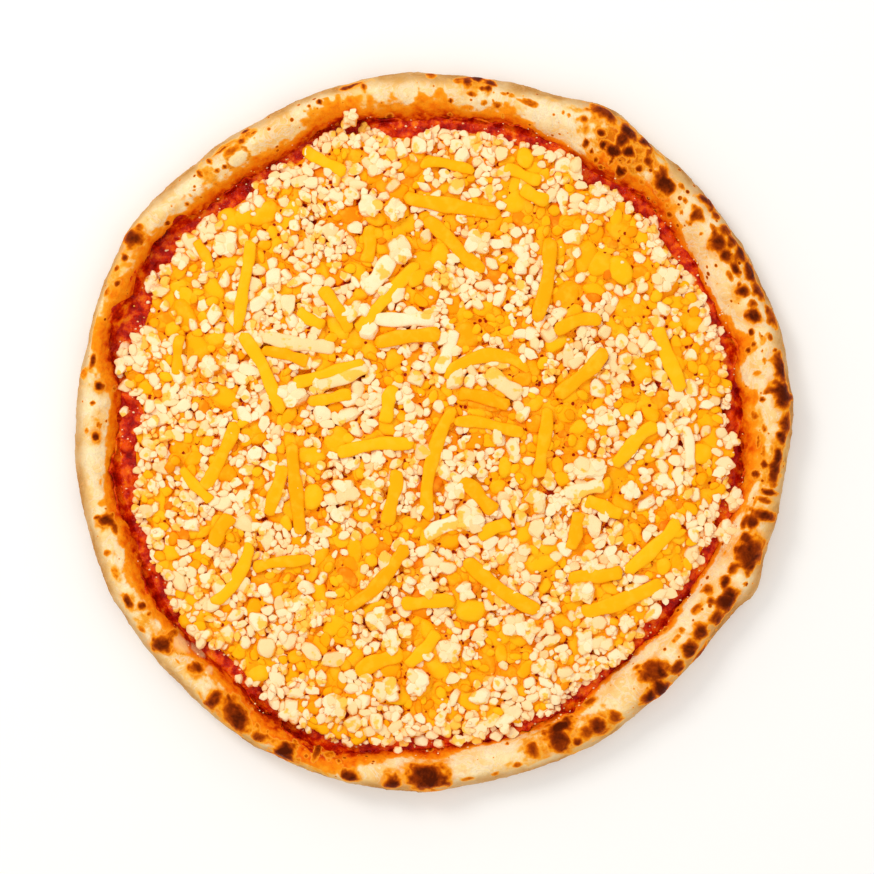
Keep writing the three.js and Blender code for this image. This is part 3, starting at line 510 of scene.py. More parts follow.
def dough_material():
    tree, shader, made = new_material("baked_dough")
    place = node(tree, "TexCoord").outputs["Object"]
    patchy, speckled = cloud(tree, 14, 3), cloud(tree, 1.6, 4, 0.6)
    base = ramp(tree, patchy, [(0.3, "#F5BA64"), (0.45, "#FACF86"), (0.6, "#FCE3AE")])
    base = mix(tree, between(tree, speckled, 0.5, 0.75, 0, 0.25), base, colour("#FFEFC4"))
    side = maths(tree, "MULTIPLY", mask(tree, "side"), between(tree, patchy, 0.3, 0.6, 1.0, 0.65))
    base = mix(tree, side, base, colour("#B87A34"))
    folded = cloud(tree, 7, 3.0, 0.5, 1.6)
    fold = maths(tree, "ABSOLUTE", maths(tree, "SUBTRACT", folded, 0.5))
    swirl = maths(tree, "ABSOLUTE", maths(tree, "SUBTRACT", cloud(tree, 3.6, 1.0, 0.5, 2.6), 0.5))
    shaded_crease = maths(tree, "MAXIMUM", between(tree, fold, 0.022, 0.0), between(tree, swirl, 0.02, 0.0, 0, 0.55))
    # The folds' creases are painted orange-tan: painted shade in the grooves, which the relief also dents.
    base = mix(tree, maths(tree, "MULTIPLY", shaded_crease, 0.55), base, colour("#EFA03C"))
    # Pale lines along the folds, faint on the outer side: painted highlight on the fold ridges.
    fold_highlight = between(tree, fold, 0.015, 0.07, 0.45, 0)
    fold_highlight = maths(tree, "MULTIPLY", fold_highlight, between(tree, side, 0.0, 0.5, 1, 0.12))
    base = mix(tree, fold_highlight, base, colour("#FFF3D6"))
    blotchy = cloud(tree, 4, 4, 0.6)
    toasted = maths(tree, "MULTIPLY", mask(tree, "toasted"), wandering(tree, blotchy, 0.45, 1.45))
    toasted_colour = ramp(tree, toasted, [
        (0.15, "#FCCA74"), (0.42, "#F9AE3A"), (0.68, "#F09216"), (0.95, "#D87208"),
    ])
    base = mix(tree, between(tree, toasted, 0.05, 0.5), base, toasted_colour)
    soaked = maths(tree, "MULTIPLY", mask(tree, "soaked"), wandering(tree, blotchy, 0.6, 1.4))
    soaked_colour = ramp(tree, soaked, [
        (0.0, "#FFBE54"), (0.1, "#FFA628"), (0.28, "#FC900E"), (0.5, "#F47808"), (0.74, "#DE4E02"),
        (0.94, "#B02002"),
    ])
    base = mix(tree, between(tree, soaked, 0.0, 0.16), base, soaked_colour)
    glow = between(tree, mask(tree, "glow"), 0.2, 0.8, 0, 0.9)
    base = mix(tree, glow, base, colour("#FAA83C"), "MULTIPLY")
    base = mix(tree, maths(tree, "MULTIPLY", mask(tree, "pale"), 0.5), base, colour("#FDE2A4"))
    dots = node(tree, "TexVoronoi", {"Vector": place, "Scale": 1 / (3.1 * MM)})
    dot_size = node(tree, "SeparateColor", {0: dots.outputs["Color"]}).outputs[0]
    dot_reach = maths(tree, "MULTIPLY", between(tree, dot_size, 0.45, 1.0, 0.0, 0.3), mask(tree, "freckled"))
    dot = between(tree, maths(tree, "SUBTRACT", dot_reach, dots.outputs["Distance"]), -0.1, 0.14, 0.0, 0.62)
    burnt = maths(tree, "MAXIMUM", mask(tree, "burnt"), dot)
    scorch = between(tree, speckled, 0.25, 0.75, -0.08, 0.08)
    scorch = maths(tree, "ADD", scorch, wandering(tree, folded, -0.12, 0.12))
    burnt = maths(tree, "ADD", burnt, maths(tree, "MULTIPLY", scorch, between(tree, burnt, 0.0, 0.3)))
    burnt_colour = ramp(tree, burnt, [
        (0.06, "#FEC258"), (0.18, "#FA9E1C"), (0.34, "#EA7C04"), (0.52, "#BE5202"), (0.74, "#882E00"),
        (0.98, "#521600"),
    ])
    base = mix(tree, between(tree, burnt, 0.04, 0.2), base, burnt_colour)
    scorched = between(tree, cloud(tree, 13, 4, 0.6), 0.5, 0.72)
    under_colour = ramp(tree, scorched, [
        (0.0, "#E9BE80"), (0.35, "#CD8A43"), (0.7, "#7E4416"), (1.0, "#3F1E0B"),
    ])
    under_colour = mix(tree, between(tree, speckled, 0.5, 0.72, 0, 0.6), under_colour, colour("#F1E0C2"))
    base = mix(tree, mask(tree, "underside"), base, under_colour)
    roughness = between(tree, soaked, 0.1, 0.6, 0.66, 0.3)
    roughness = between(tree, burnt, 0.3, 0.9, roughness, 0.5)
    height = maths(tree, "SUBTRACT", grain_height(tree, 0.9, 0.4), maths(tree, "MULTIPLY", shaded_crease, 0.35))
    finish_material(tree, shader, base, roughness, height, depth=0.35, strength=0.8, specular=0.03)
    return made


make_piece("baked_dough", *make_dough(), dough_material(), "baked_dough", "dough_crust")


# ---------------------------------------------------------------------------------------------------------
# The sauce: crushed tomato, spooned on and spread to the foot of the rim. It bakes to a deep, wet red with
# soft lumps of tomato in it, and shows as a ring between the cheese and the dough.

LAYER_GAP = 0.3
SAUCE_THICKNESS = 1.4
SAUCE_STEPS = 720
SAUCE_RINGS = 30
SAUCE_SHOWS_FROM = 0.88
SAUCE_TUCK = 1.3
LUMP_COUNT = 420
LUMP_SEED = 5

# How far the sauce is smeared up the slope, how ragged that edge is, and how it ripples: the last two by
# height, size and seed.
SMEAR_SWELLS = [
    (5, 4, 2.5), (16, 3, 3.5), (46, 10, 1), (78, 8, 2), (103, 6, 2), (139, 4, 2), (155, 14, 3.5),
    (190, 8, 2.5), (210, 6, 2.5), (226, 3, -1), (250, 9, 3), (297, 3, 1.5), (321, 5, 1.5), (352, 4, 2),
]
SMEAR_RAGGEDNESS = [(1.4, 9, 23), (0.9, 3, 24)]
SAUCE_RIPPLES = [(0.3, 6, 21), (0.2, 2.2, 22)]
SMEAR_THICKNESS = 0.55


def rim_slope(distance, degrees):
    """Height of the rim's inner slope at each distance and direction from the middle, or 0 inside it."""
    section = rim_curve(np.linspace(0, 0.5, 40))[0]
    foot = well_radius(degrees)
    across = (distance - foot) / (rim_radius(degrees) - foot)
    crest = RIM_HEIGHT + swell(CREST_SWELLS, degrees)
    return np.where(across > 0, crest * np.interp(across, section[:, 0], section[:, 1]), 0)


def make_sauce():
    """The sauce's points, faces and mask: a lumpy skin that climbs a little way up the rim."""
    degrees = np.arange(SAUCE_STEPS)[None, :] * 360 / SAUCE_STEPS
    round_edge = ring_points(np.full(SAUCE_STEPS, RIM_RADIUS), degrees[0], 0)
    smear = swell(SMEAR_SWELLS, degrees) + layered_noise(round_edge, SMEAR_RAGGEDNESS)
    edge = well_radius(degrees) + SAUCE_TUCK + np.maximum(smear, 0)
    hidden, shown = np.linspace(0.1, SAUCE_SHOWS_FROM, 6), np.linspace(SAUCE_SHOWS_FROM, 1, SAUCE_RINGS)
    shares = np.concatenate((hidden, shown[1:]))
    floor = BASE_THICKNESS + LAYER_GAP
    top = ring_points(shares[:, None] * edge, degrees, floor + SAUCE_THICKNESS)
    flat = top.reshape(-1, 3)
    height = layered_noise(flat, SAUCE_RIPPLES)
    random = np.random.default_rng(LUMP_SEED)
    lump = np.zeros(len(flat))
    for _ in range(LUMP_COUNT):
        at = 360 * random.random()
        distance = well_radius(np.array(at)) - 11 * random.random()
        size = random.uniform(0.9, 3.2)
        offset = flat[:, :2] - ring_points(distance, at, 0)[:2]
        bulge = np.sqrt(np.maximum(1 - (offset**2).sum(1) / size**2, 0))
        height += 0.28 * size * bulge
        lump = np.maximum(lump, bulge * random.uniform(0.3, 1))
    slope = rim_slope(shares[:, None] * edge, degrees)
    sides = smooth_step(shares[:, None] * edge - well_radius(degrees), 0, 1.5)
    top[..., 2] += height.reshape(top.shape[:2]) * (1 - 0.6 * sides)
    top[..., 2] = np.maximum(top[..., 2], slope + SMEAR_THICKNESS + 0.4 * height.reshape(top.shape[:2]))
    top[-1, :, 2] -= 1.6 * SMEAR_THICKNESS
    bottom = ring_points(well_radius(degrees) - SAUCE_TUCK, degrees, floor)
    points = np.concatenate((top.reshape(-1, 3), bottom.reshape(-1, 3)))
    points = np.concatenate((points, [(0, 0, floor + SAUCE_THICKNESS), (0, 0, floor)]))
    masks = {"lump": np.concatenate((lump, np.zeros(len(points) - len(lump))))}
    return points, ringed_faces(len(top) + 1, SAUCE_STEPS), masks


def sauce_material():
    tree, shader, made = new_material("red_sauce")
    pulp = cloud(tree, 5, 4, 0.6)
    base = ramp(tree, pulp, [
        (0.3, "#820500"), (0.42, "#AE1000"), (0.5, "#D02A00"), (0.58, "#EE5A02"), (0.7, "#FC8E0C"),
    ])
    base = mix(tree, between(tree, mask(tree, "lump"), 0.35, 0.95, 0, 0.7), base, colour("#F05404"))
    roughness = wandering(tree, cloud(tree, 1.5), 0.08, 0.24)
    height = cloud(tree, 1.1, 3, 0.55)
    finish_material(tree, shader, base, roughness, height, depth=0.7, strength=0.9, specular=0.12)
    return made


make_piece("red_sauce", *make_sauce(), sauce_material(), "tomato_sauce", "tomato_sauce")


# ---------------------------------------------------------------------------------------------------------
# The crumbs: fresh white curd cheese and orange cheddar, crumbled and diced by hand over the sauce. In the
# oven the white curd keeps its broken edges, and the cheddar slumps into flat drops.

CHEESE_RADIUS = 128.0
CHEESE_INSET = 1.6
CHEESE_SWELLS = [
    (3, 6, -6), (25, 12, -2), (57, 5, -3.5), (93, 4, -2), (112, 8, 4), (150, 14, 5.5), (167, 5, 5),
    (177, 4, -4), (215, 12, 3.5), (248, 14, 8), (274, 12, 3), (318, 16, -5.5),
]
BED_FLOOR = BASE_THICKNESS + SAUCE_THICKNESS + 2 * LAYER_GAP
BED_DEPTH = 2.4
BED_INSET = 2.6
BED_BUMPS = [(0.5, 7, 31), (0.35, 2.5, 32)]

# The square grid that the heap is built up on: the side of a cell, and how far it goes from the middle.
CELL = 0.6
REACH = 140.0

# How the crumbs fell: where the pinches of cheddar landed, by weight, size and seed; how strongly each
# cheese keeps to its own; how ragged the edge of the heap is, by height, size and seed; how far inside it
# the cheddar stays; and how many small curds grow on each of the largest.
HEAP_SEED = 12
PINCHES = [(1, 11, 41), (0.9, 5, 42)]
CLUMPING = 1.8
EDGE_RAGGEDNESS = [(3.6, 8, 43)]
CHEDDAR_INSET = 3.0
CLUMP_CURDS = 4

# How one crumb broke: its steep sides, its blunted corners and its lobes. A higher edge is a sharper one.
CRUMB_SIDES = 5
CRUMB_CHAMFERS = 4
CRUMB_LOBES = 5
CURD_EDGE = 16
CURD_CRISP_ANGLE = 24.0
CHEDDAR_EDGE = 8

# Crumbs strewn by chance: how many, their smallest and largest size, and how many places each may choose.
LARGE_WHITE, MEDIUM_WHITE, SMALL_WHITE = (270, (4.8, 7.6), 6), (890, (3.6, 5.6), 7), (1550, (2.2, 4.0), 8)
LARGE_ORANGE, MEDIUM_ORANGE, SMALL_ORANGE = (170, (5.6, 8.4), 5), (520, (3.8, 5.8), 7), (560, (2.2, 3.8), 8)

# How each cheese lies after baking: how far it has spread, and its height as a share of its width.
WHITE_SHAPE = (1.0, 0.8)
ORANGE_SHAPE = (1.35, 0.42)

# The biggest curds and chunks, and crumbs that fell on the sauce: x, y, and how long they are along each.
LARGE_CURDS = [
    (96, 64, 10, 10), (-35, 132, 5, 7.5), (-29, 127, 4, 6.5), (-33, 122, 5, 6), (6, -91, 9, 9),
    (-7, -104, 8.5, 11), (-20, -107, 10, 9), (-41, -114, 10, 8.5), (-3, -64, 7.5, 8.5), (34, -80, 11, 7.5),
    (40, -82, 6, 9), (-23, -78, 9, 9), (-18, -87, 6.5, 10), (-12, -82, 6, 6), (13, -66, 6, 7.5),
    (62, -66, 9, 8.5), (65, -55, 6.5, 6.5), (80, -79, 6, 6), (63, -87, 6.5, 11), (46, -98, 9, 7.5),
    (-25, 112, 8.5, 8.5), (19, 80, 11, 8.5), (-27, 95, 9, 9), (-16, 93, 7.5, 7.5), (-14, 76, 8.5, 10),
    (-33, 51, 12.5, 6), (-60, 16, 11, 8.5), (-94, 28, 7.5, 8.5), (-77, 39, 11, 7.5), (-106, 72, 6, 6),
    (-87, 79, 9, 10), (-112, 68, 5, 5), (-118, 62, 6.5, 6.5), (15, -36, 11.5, 10), (9, -24, 8.5, 6),
    (-27, -22, 7.5, 6.5), (-37, -24, 10, 8.5), (36, 56, 6, 6), (65, -15, 12.5, 8.5), (82, -24, 7.5, 6.5),
    (69, 102, 8.5, 5), (76, 99, 6, 6), (69, 95, 9, 6), (92, 88, 4, 6), (94, 74, 6.5, 6.5),
    (124, -3, 6.5, 6), (126, -28, 6, 7.5), (122, -41, 7.5, 8.5),
]
STRAY_CURDS = [
    (-82, -103, 4, 4), (-77, -104, 4, 4), (-69, -105, 4, 4), (-130, 35, 4.5, 6), (-130, 9, 4, 4),
    (111, -53, 4, 4), (86, -84, 4.5, 4.5), (81, -89, 4, 4), (-13, -130, 4, 4), (-15, -133, 3.5, 3.5),
    (-34, 132, 4, 4), (-37, 129, 4, 4), (-39, 126, 4, 4), (-128, 30, 6, 4), (-132, 25, 4, 3),
    (53, 117, 4, 4), (118, -27, 4, 4), (120, 43, 3.5, 3.5), (-5, -129, 5, 4.5), (2, -130, 4, 4),
    (10, -129, 5.5, 5), (18, -128.5, 4.5, 4.5), (26, -127, 5, 4.5), (33, -125.5, 5, 4.5),
]
LARGE_CHUNKS = [
    (77, 85, 10, 8.5), (63, 74, 8.5, 15), (39, -93, 7.5, 7.5), (-77, -93, 6.5, 12.5), (-41, -3, 10.5, 14.5),
    (-17, 31, 8.5, 8.5), (76, -89, 5, 6.5), (120, 28, 4, 4),
]


def cheese_radius(degrees):
    return np.minimum(CHEESE_RADIUS + swell(CHEESE_SWELLS, degrees), well_radius(degrees) - CHEESE_INSET)


def bed_height(x, y):
    """Height that the lowest crumbs lie at, falling away towards the edge of the cheese."""
    share = np.hypot(x, y) / cheese_radius(np.degrees(np.arctan2(y, x)))
    place = np.stack((x, y, np.zeros_like(x)), axis=-1).reshape(-1, 3)
    bumps = layered_noise(place, BED_BUMPS).reshape(np.shape(x))
    return BED_FLOOR + BED_DEPTH * (1 - 0.75 * share**8) + bumps


def height_grid():
    """The height that a crumb would land on, on a square grid over the pizza."""
    line = np.arange(-REACH, REACH + CELL / 2, CELL)
    x, y = np.meshgrid(line, line, indexing="ij")
    distance, degrees = np.hypot(x, y), np.degrees(np.arctan2(y, x))
    heights = bed_height(x, y)
    heights[distance > cheese_radius(degrees) - BED_INSET] = BASE_THICKNESS + LAYER_GAP + SAUCE_THICKNESS
    return x, y, np.maximum(heights, rim_slope(distance, degrees))


grid_x, grid_y, heap = height_grid()


class Footprint:
    """Where one crumb would lie: the cells of the grid under it, and how far each is from its middle."""

    def __init__(self, x, y, half_length, half_width, turn):
        half_length, half_width = max(half_length, CELL), max(half_width, CELL)
        reach = int(half_length / CELL) + 2
        column, line = int(round((x + REACH) / CELL)), int(round((y + REACH) / CELL))
        self.cells = (
            slice(max(column - reach, 0), column + reach + 1), slice(max(line - reach, 0), line + reach + 1)
        )
        dx, dy = grid_x[self.cells] - x, grid_y[self.cells] - y
        along, beside = dx * np.cos(turn) + dy * np.sin(turn), dy * np.cos(turn) - dx * np.sin(turn)
        self.away = (along / half_length) ** 2 + (beside / half_width) ** 2
        self.under = self.away < 1

    def level(self):
        """The level that the crumb settles to: between the mean and the top of what is under it."""
        heights = heap[self.cells][self.under]
        return heights.mean() + 0.45 * heights.std()

    def settle(self, middle, half_height, heights):
        """Raises the heights by the crumb's own flat-topped form."""
        top = middle + 0.85 * half_height * np.sqrt(np.maximum(1 - self.away**2, 0))
        heights[self.cells] = np.where(self.under, np.maximum(heights[self.cells], top), heights[self.cells])


def settle_crumb(x, y, length, width, turn, flatness, random, sink=0.35):
    """Lets one crumb down at a place and returns its x, y, z, half-sizes, turn and tone."""
    half_height = 0.5 * (length * width) ** 0.5 * flatness * random.uniform(0.8, 1.05)
    spot = Footprint(x, y, length / 2, width / 2, turn)
    middle = spot.level() + sink * half_height
    spot.settle(middle, half_height, heap)
    return x, y, middle, length / 2, width / 2, half_height, turn, random.random()


def set_down(crumbs, flatness, random, sink=0.35):
    """Lets the crumbs of a list down where it says, none of them stained."""
    settled = []
    for x, y, length, width in crumbs:
        crumb = settle_crumb(x, y, length, width, random.uniform(-0.3, 0.3), flatness, random, sink)
        settled.append((*crumb[:-1], 0.7 * crumb[-1]))
    # Lets the crumbs of a list down where it says, none of them in the deepest tones of their cheese.
    return settled


def clump(curds, random):
    """Smaller curds grown together with each of the largest, round its top."""
    grown = []
    for x, y, length, width in curds:
        turn = 2 * np.pi * random.random()
        for step in range(CLUMP_CURDS):
            way = turn + 2 * np.pi * (step + random.uniform(-0.2, 0.2)) / CLUMP_CURDS
            size = random.uniform(0.42, 0.6) * (length * width) ** 0.5
            place = (x + 0.3 * length * np.cos(way), y + 0.3 * width * np.sin(way))
            grown.append(settle_crumb(*place, 1.2 * size, size, way, 0.8, random, -0.45))
    return grown


def cheddar_rich(places):
    """Share of orange cheese at each place: it was strewn in pinches."""
    return 1 / (1 + np.exp(-(layered_noise(places, PINCHES) - 0.05) * 5))


def strew(count, sizes, choices, is_orange, random):
    """Strews crumbs of one cheese over the heap, each at the lowest and likeliest of a few places."""
    size = sizes[0] + (sizes[1] - sizes[0]) * random.random(count) ** 1.4
    at = 360 * random.random((count, choices))
    limit = cheese_radius(at) - 0.45 * size[:, None] - (CHEDDAR_INSET if is_orange else 0)
    ragged = layered_noise(ring_points(limit.ravel(), at.ravel(), 0), EDGE_RAGGEDNESS).reshape(at.shape)
    distance = (limit + ragged) * np.sqrt(random.random((count, choices)))
    places = ring_points(distance, at, 0)
    orange_share = cheddar_rich(places.reshape(-1, 3)).reshape(count, choices)
    suits = orange_share if is_orange else 1 - orange_share
    spread, flatness = ORANGE_SHAPE if is_orange else WHITE_SHAPE
    strewn = []
    for i in range(count):
        levels = [Footprint(x, y, size[i] / 2, size[i] / 2, 0).level() for x, y, _ in places[i]]
        best = int(np.argmin(np.array(levels) - CLUMPING * suits[i]))
        length, width = size[i] * random.uniform(1.0, 1.35), size[i] * random.uniform(0.72, 1.0)
        place = (*places[i, best, :2], length * spread, width * spread, np.pi * random.random())
        strewn.append(settle_crumb(*place, flatness, random))
    return strewn


def ball(parts):
    """Directions and faces of a ball, from an icosahedron with each edge cut into equal parts."""
    golden = (1 + 5**0.5) / 2
    corners = np.array([
        (-1, golden, 0), (1, golden, 0), (-1, -golden, 0), (1, -golden, 0), (0, -1, golden), (0, 1, golden),
        (0, -1, -golden), (0, 1, -golden), (golden, 0, -1), (golden, 0, 1), (-golden, 0, -1), (-golden, 0, 1),
    ])
    sides = [
        (0, 11, 5), (0, 5, 1), (0, 1, 7), (0, 7, 10), (0, 10, 11), (1, 5, 9), (5, 11, 4), (11, 10, 2),
        (10, 7, 6), (7, 1, 8), (3, 9, 4), (3, 4, 2), (3, 2, 6), (3, 6, 8), (3, 8, 9), (4, 9, 5), (2, 4, 11),
        (6, 2, 10), (8, 6, 7), (9, 8, 1),
    ]
    points, faces, known = [], [], {}

    def point(weights):
        key = tuple(sorted((corner, weight) for corner, weight in weights if weight))
        if key not in known:
            known[key] = len(points)
            points.append(sum(weight * corners[corner] for corner, weight in key))
        return known[key]

    for a, b, c in sides:
        at = {
            (i, j): point([(a, parts - i - j), (b, i), (c, j)])
            for i in range(parts + 1) for j in range(parts + 1 - i)
        }
        for i in range(parts):
            for j in range(parts - i):
                faces.append((at[i, j], at[i + 1, j], at[i, j + 1]))
                if i + j < parts - 1:
                    faces.append((at[i + 1, j], at[i + 1, j + 1], at[i, j + 1]))
    directions = np.array(points, float)
    return directions / np.linalg.norm(directions, axis=1, keepdims=True), np.array(faces)


def crumb_mesh(crumbs, parts, edge, seed, roughness, lump):
    """One mesh of all the crumbs. Each is a few lobes grown together, broken off along a nearly level top, a
    few steep sides and some blunted corners, which a higher edge makes sharper."""
    random = np.random.default_rng(seed)
    directions, faces = ball(parts)
    x, y, z, half_length, half_width, half_height, turn, tone = np.array(crumbs).T
    count = len(crumbs)

    def any_way(number):
        ways = random.normal(size=(count, number, 3))
        return ways / np.linalg.norm(ways, axis=2, keepdims=True)

    middles = any_way(CRUMB_LOBES) * random.uniform(0.3, 0.5, (count, CRUMB_LOBES, 1))
    radii = random.uniform(0.66, 0.8, (count, 1, CRUMB_LOBES))
    towards = np.einsum("vk,cpk->cvp", directions, middles)
    inside = np.maximum(towards**2 - (middles**2).sum(2)[:, None] + radii**2, 0.01)
    lobed = (((towards + np.sqrt(inside)) ** 8).sum(2)) ** (1 / 8)
    lobed /= lobed.mean(1, keepdims=True)

    around = np.arange(CRUMB_SIDES) + random.uniform(-0.32, 0.32, (count, CRUMB_SIDES))
    around += random.random((count, 1))
    around *= 2 * np.pi / CRUMB_SIDES
    sides = np.stack((np.cos(around), np.sin(around), random.uniform(-0.3, 0.5, around.shape)), -1)
    top = np.concatenate((random.normal(0, 0.2, (count, 1, 2)), np.ones((count, 1, 1))), -1)
    ways = np.concatenate((sides, top, any_way(CRUMB_CHAMFERS)), 1)
    ways /= np.linalg.norm(ways, axis=2, keepdims=True)
    distances = np.concatenate((
        random.uniform(0.62, 0.92, (count, CRUMB_SIDES)), random.uniform(0.6, 0.76, (count, 1)),
        random.uniform(0.78, 1.05, (count, CRUMB_CHAMFERS)),
    ), 1)
    planes = ways / distances[..., None]
    facing = np.maximum(np.einsum("vk,cpk->cvp", directions, planes), 0) ** edge
    reach = 1.24 * (facing.sum(2) + (1.1 * lobed) ** (-edge)) ** (-1 / edge)
    half_sizes = np.stack((half_length, half_width, half_height), -1)
    local = directions[None] * reach[:, :, None] * half_sizes[:, None]
    cos, sin = np.cos(turn)[:, None], np.sin(turn)[:, None]
    points = np.stack((
        x[:, None] + local[..., 0] * cos - local[..., 1] * sin,
        y[:, None] + local[..., 0] * sin + local[..., 1] * cos,
        z[:, None] + local[..., 2],
    ), -1)
    flat = points.reshape(-1, 3)
    out = np.repeat(directions[None], count, 0).reshape(-1, 3)
    bumps = smooth_noise(flat, lump, seed) + 0.5 * smooth_noise(flat, 0.5 * lump, seed + 1)
    flat = flat + out * (roughness * bumps)[:, None]
    # Rise is a point's height within its crumb; the creases between lobes count as low, so the material
    # paints them deeper orange as painted shade.
    rise = 0.5 + 0.62 * local[..., 2] / half_height[:, None] - 0.6 * np.maximum(0.95 - lobed, 0)
    masks = {"tone": np.repeat(tone, len(directions)), "rise": np.clip(rise, 0, 1).ravel()}
    faces = (faces[None] + (np.arange(count) * len(directions))[:, None, None]).reshape(-1, 3)
    return flat, [faces], masks


# Cheese clear at the top and deeper orange towards its foot and on its steep sides: partly real staining
# from the sauce and fat it lies in, partly painted shade and painted orange light bounced between crumbs.
WHITE = (1, 1, 1, 1)
stain_and_shade, stain_and_shade_in, stain_and_shade_out = new_group(
    "foot_staining_and_shade",
    [("Top", "Color", WHITE), ("Foot", "Color", WHITE), ("Rise", "Float", 1.0), ("Depth", "Float", 0.5)],
    [("Color", "Color")],
)
# Steep sides take more of the orange foot colour: painted shade on sides turned away from the light above.
steep = node(stain_and_shade, "SeparateXYZ", {0: node(stain_and_shade, "TexCoord").outputs["Normal"]}).outputs["Z"]
stain_and_shade_bites = wandering(stain_and_shade, cloud(stain_and_shade, 1.4, 3), -0.14, 0.14)
stain_and_shade_edge = maths(stain_and_shade, "ADD", stain_and_shade_in["Rise"], stain_and_shade_bites)
stain_and_shade_edge = maths(stain_and_shade, "SUBTRACT", stain_and_shade_edge, between(stain_and_shade, steep, 0.6, 0.0, 0.0, 0.3))
stain_and_shade_share = node(stain_and_shade, "MapRange", {
    "Value": stain_and_shade_edge, "From Min": stain_and_shade_in["Depth"], "From Max": 0.25, "To Min": 0.0, "To Max": 1.0,
}, interpolation_type="SMOOTHSTEP").outputs[0]
stain_and_shade.links.new(mix(stain_and_shade, stain_and_shade_share, stain_and_shade_in["Top"], stain_and_shade_in["Foot"]), stain_and_shade_out["Color"])


def stained_and_shaded(tree, top, foot, depth):
    """A crumb's or shred's colour, orange towards its foot up to that share of its height: staining and
    painted shade.
    """
    inputs = {"Top": top, "Foot": colour(foot), "Rise": mask(tree, "rise"), "Depth": depth}
    return node(tree, "Group", inputs, node_tree=stain_and_shade).outputs["Color"]


def curd_material():
    tree, shader, made = new_material("white_curd")
    top = ramp(tree, mask(tree, "tone"), [
        (0.0, "#F9D796"), (0.3, "#FDE4B0"), (0.7, "#FFEBBE"), (0.9, "#FCDCA0"), (1.0, "#F9CA84"),
    ])
    top = mix(tree, between(tree, cloud(tree, 3, 2), 0.45, 0.75, 0, 0.5), top, colour("#FDE0A6"))
    top = mix(tree, between(tree, cloud(tree, 7, 3), 0.55, 0.62, 0, 0.9), top, colour("#FFC12C"))
    # The orange foot colour is partly real staining and partly painted shade and bounced light.
    base = stained_and_shaded(tree, top, "#FFA430", 0.7)
    roughness = wandering(tree, cloud(tree, 2), 0.42, 0.6)
    height = cloud(tree, 0.8, 2)
    finish_material(tree, shader, base, roughness, height, depth=0.2, strength=0.6, specular=0.25)
    return made


def cheddar_material():
    tree, shader, made = new_material("orange_cheddar")
    top = ramp(tree, mask(tree, "tone"), [
        (0.0, "#FFA600"), (0.25, "#FFB206"), (0.5, "#FFBC0E"), (0.75, "#FFAE02"), (0.92, "#FC9800"),
        (1.0, "#F07A06"),
    ])
    top = mix(tree, between(tree, cloud(tree, 4, 2), 0.45, 0.75, 0, 0.5), top, colour("#FFC42A"))
    # The deep orange foot colour is partly real staining and partly painted shade and bounced light.
    base = stained_and_shaded(tree, top, "#F57C00", 0.66)
    roughness = wandering(tree, cloud(tree, 2.5), 0.34, 0.5)
    height = cloud(tree, 1.1, 2)
    finish_material(tree, shader, base, roughness, height, depth=0.15, strength=0.5, specular=0.06)
    return made


def crisp_edges(piece):
    """Keeps the broken edges of the curds crisp, where two of their sides meet at more than an angle."""
    piece.data.set_sharp_from_angle(angle=np.radians(CURD_CRISP_ANGLE))


curd, cheddar = curd_material(), cheddar_material()
random = np.random.default_rng(HEAP_SEED)
placed_orange = set_down(LARGE_CHUNKS, 0.5, random)
large_orange = strew(*LARGE_ORANGE, True, random)
medium_orange = strew(*MEDIUM_ORANGE, True, random)
placed_white = set_down(LARGE_CURDS, 0.72, random) + set_down(STRAY_CURDS, 0.8, random, 0.7)
grown_white = clump(LARGE_CURDS, random)
large_white = strew(*LARGE_WHITE, False, random)
medium_white = strew(*MEDIUM_WHITE, False, random)
small_orange = strew(*SMALL_ORANGE, True, random)
small_white = strew(*SMALL_WHITE, False, random)

# Each piece of crumbs: its name, what is in it, how many parts each edge of a crumb's ball is cut into, its
# seed, and how rough its crumbs are, by height and size of their bumps.
for name, crumbs, parts, seed, roughness, lump in (
    ("white_crumbs_large", placed_white + large_white, 4, 51, 0.4, 2.6),
    ("white_crumbs_medium", grown_white + medium_white, 3, 52, 0.2, 1.8),
    ("white_crumbs_small", small_white, 2, 53, 0.1, 1.4),
):
    curds = crumb_mesh(crumbs, parts, CURD_EDGE, seed, roughness, lump)
    crisp_edges(make_piece(name, *curds, curd, "cheese"))
for name, crumbs, parts, seed, roughness, lump in (
    ("orange_crumbs_large", placed_orange + large_orange, 3, 54, 0.3, 3),
    ("orange_crumbs_medium", medium_orange, 3, 55, 0.2, 2),
    ("orange_crumbs_small", small_orange, 2, 56, 0.1, 1.4),
):
    make_piece(name, *crumb_mesh(crumbs, parts, CHEDDAR_EDGE, seed, roughness, lump), cheddar, "cheese")


# ---------------------------------------------------------------------------------------------------------
# The melted cheddar: the orange crumbs have run together round their feet into one soft sheet over the sauce.
# It fills the creases between them, and is thin and deeper orange where little cheddar fell. Deep between the
# crumbs it is painted dark red: partly sauce showing through, partly painted shade.

SHEET_CELLS = 220
SHEET_INSET = 2.6
SHEET_SINK = 0.3
SHEET_SOFTENING = 4
HEAP_SOFTENING = 14
FILL_DEPTH = 1.3
FILL_UNEVENNESS = [(1.5, 5, 46)]
GAP_DEPTHS = (1.5, 2.6)


def softened(heights, times):
    """The heights with each cell shared out over its neighbours, a number of times."""
    for _ in range(times):
        for axis in (0, 1):
            heights = (heights + np.roll(heights, 1, axis) + np.roll(heights, -1, axis)) / 3
    return heights


def sample(heights, x, y):
    """A grid's value at each place, shared between the four cells round it."""
    place = (np.stack((x, y)) + REACH) / CELL
    (i, j), (u, v) = place.astype(int), place % 1
    near = heights[i, j] * (1 - v) + heights[i, j + 1] * v
    return near * (1 - u) + (heights[i + 1, j] * (1 - v) + heights[i + 1, j + 1] * v) * u


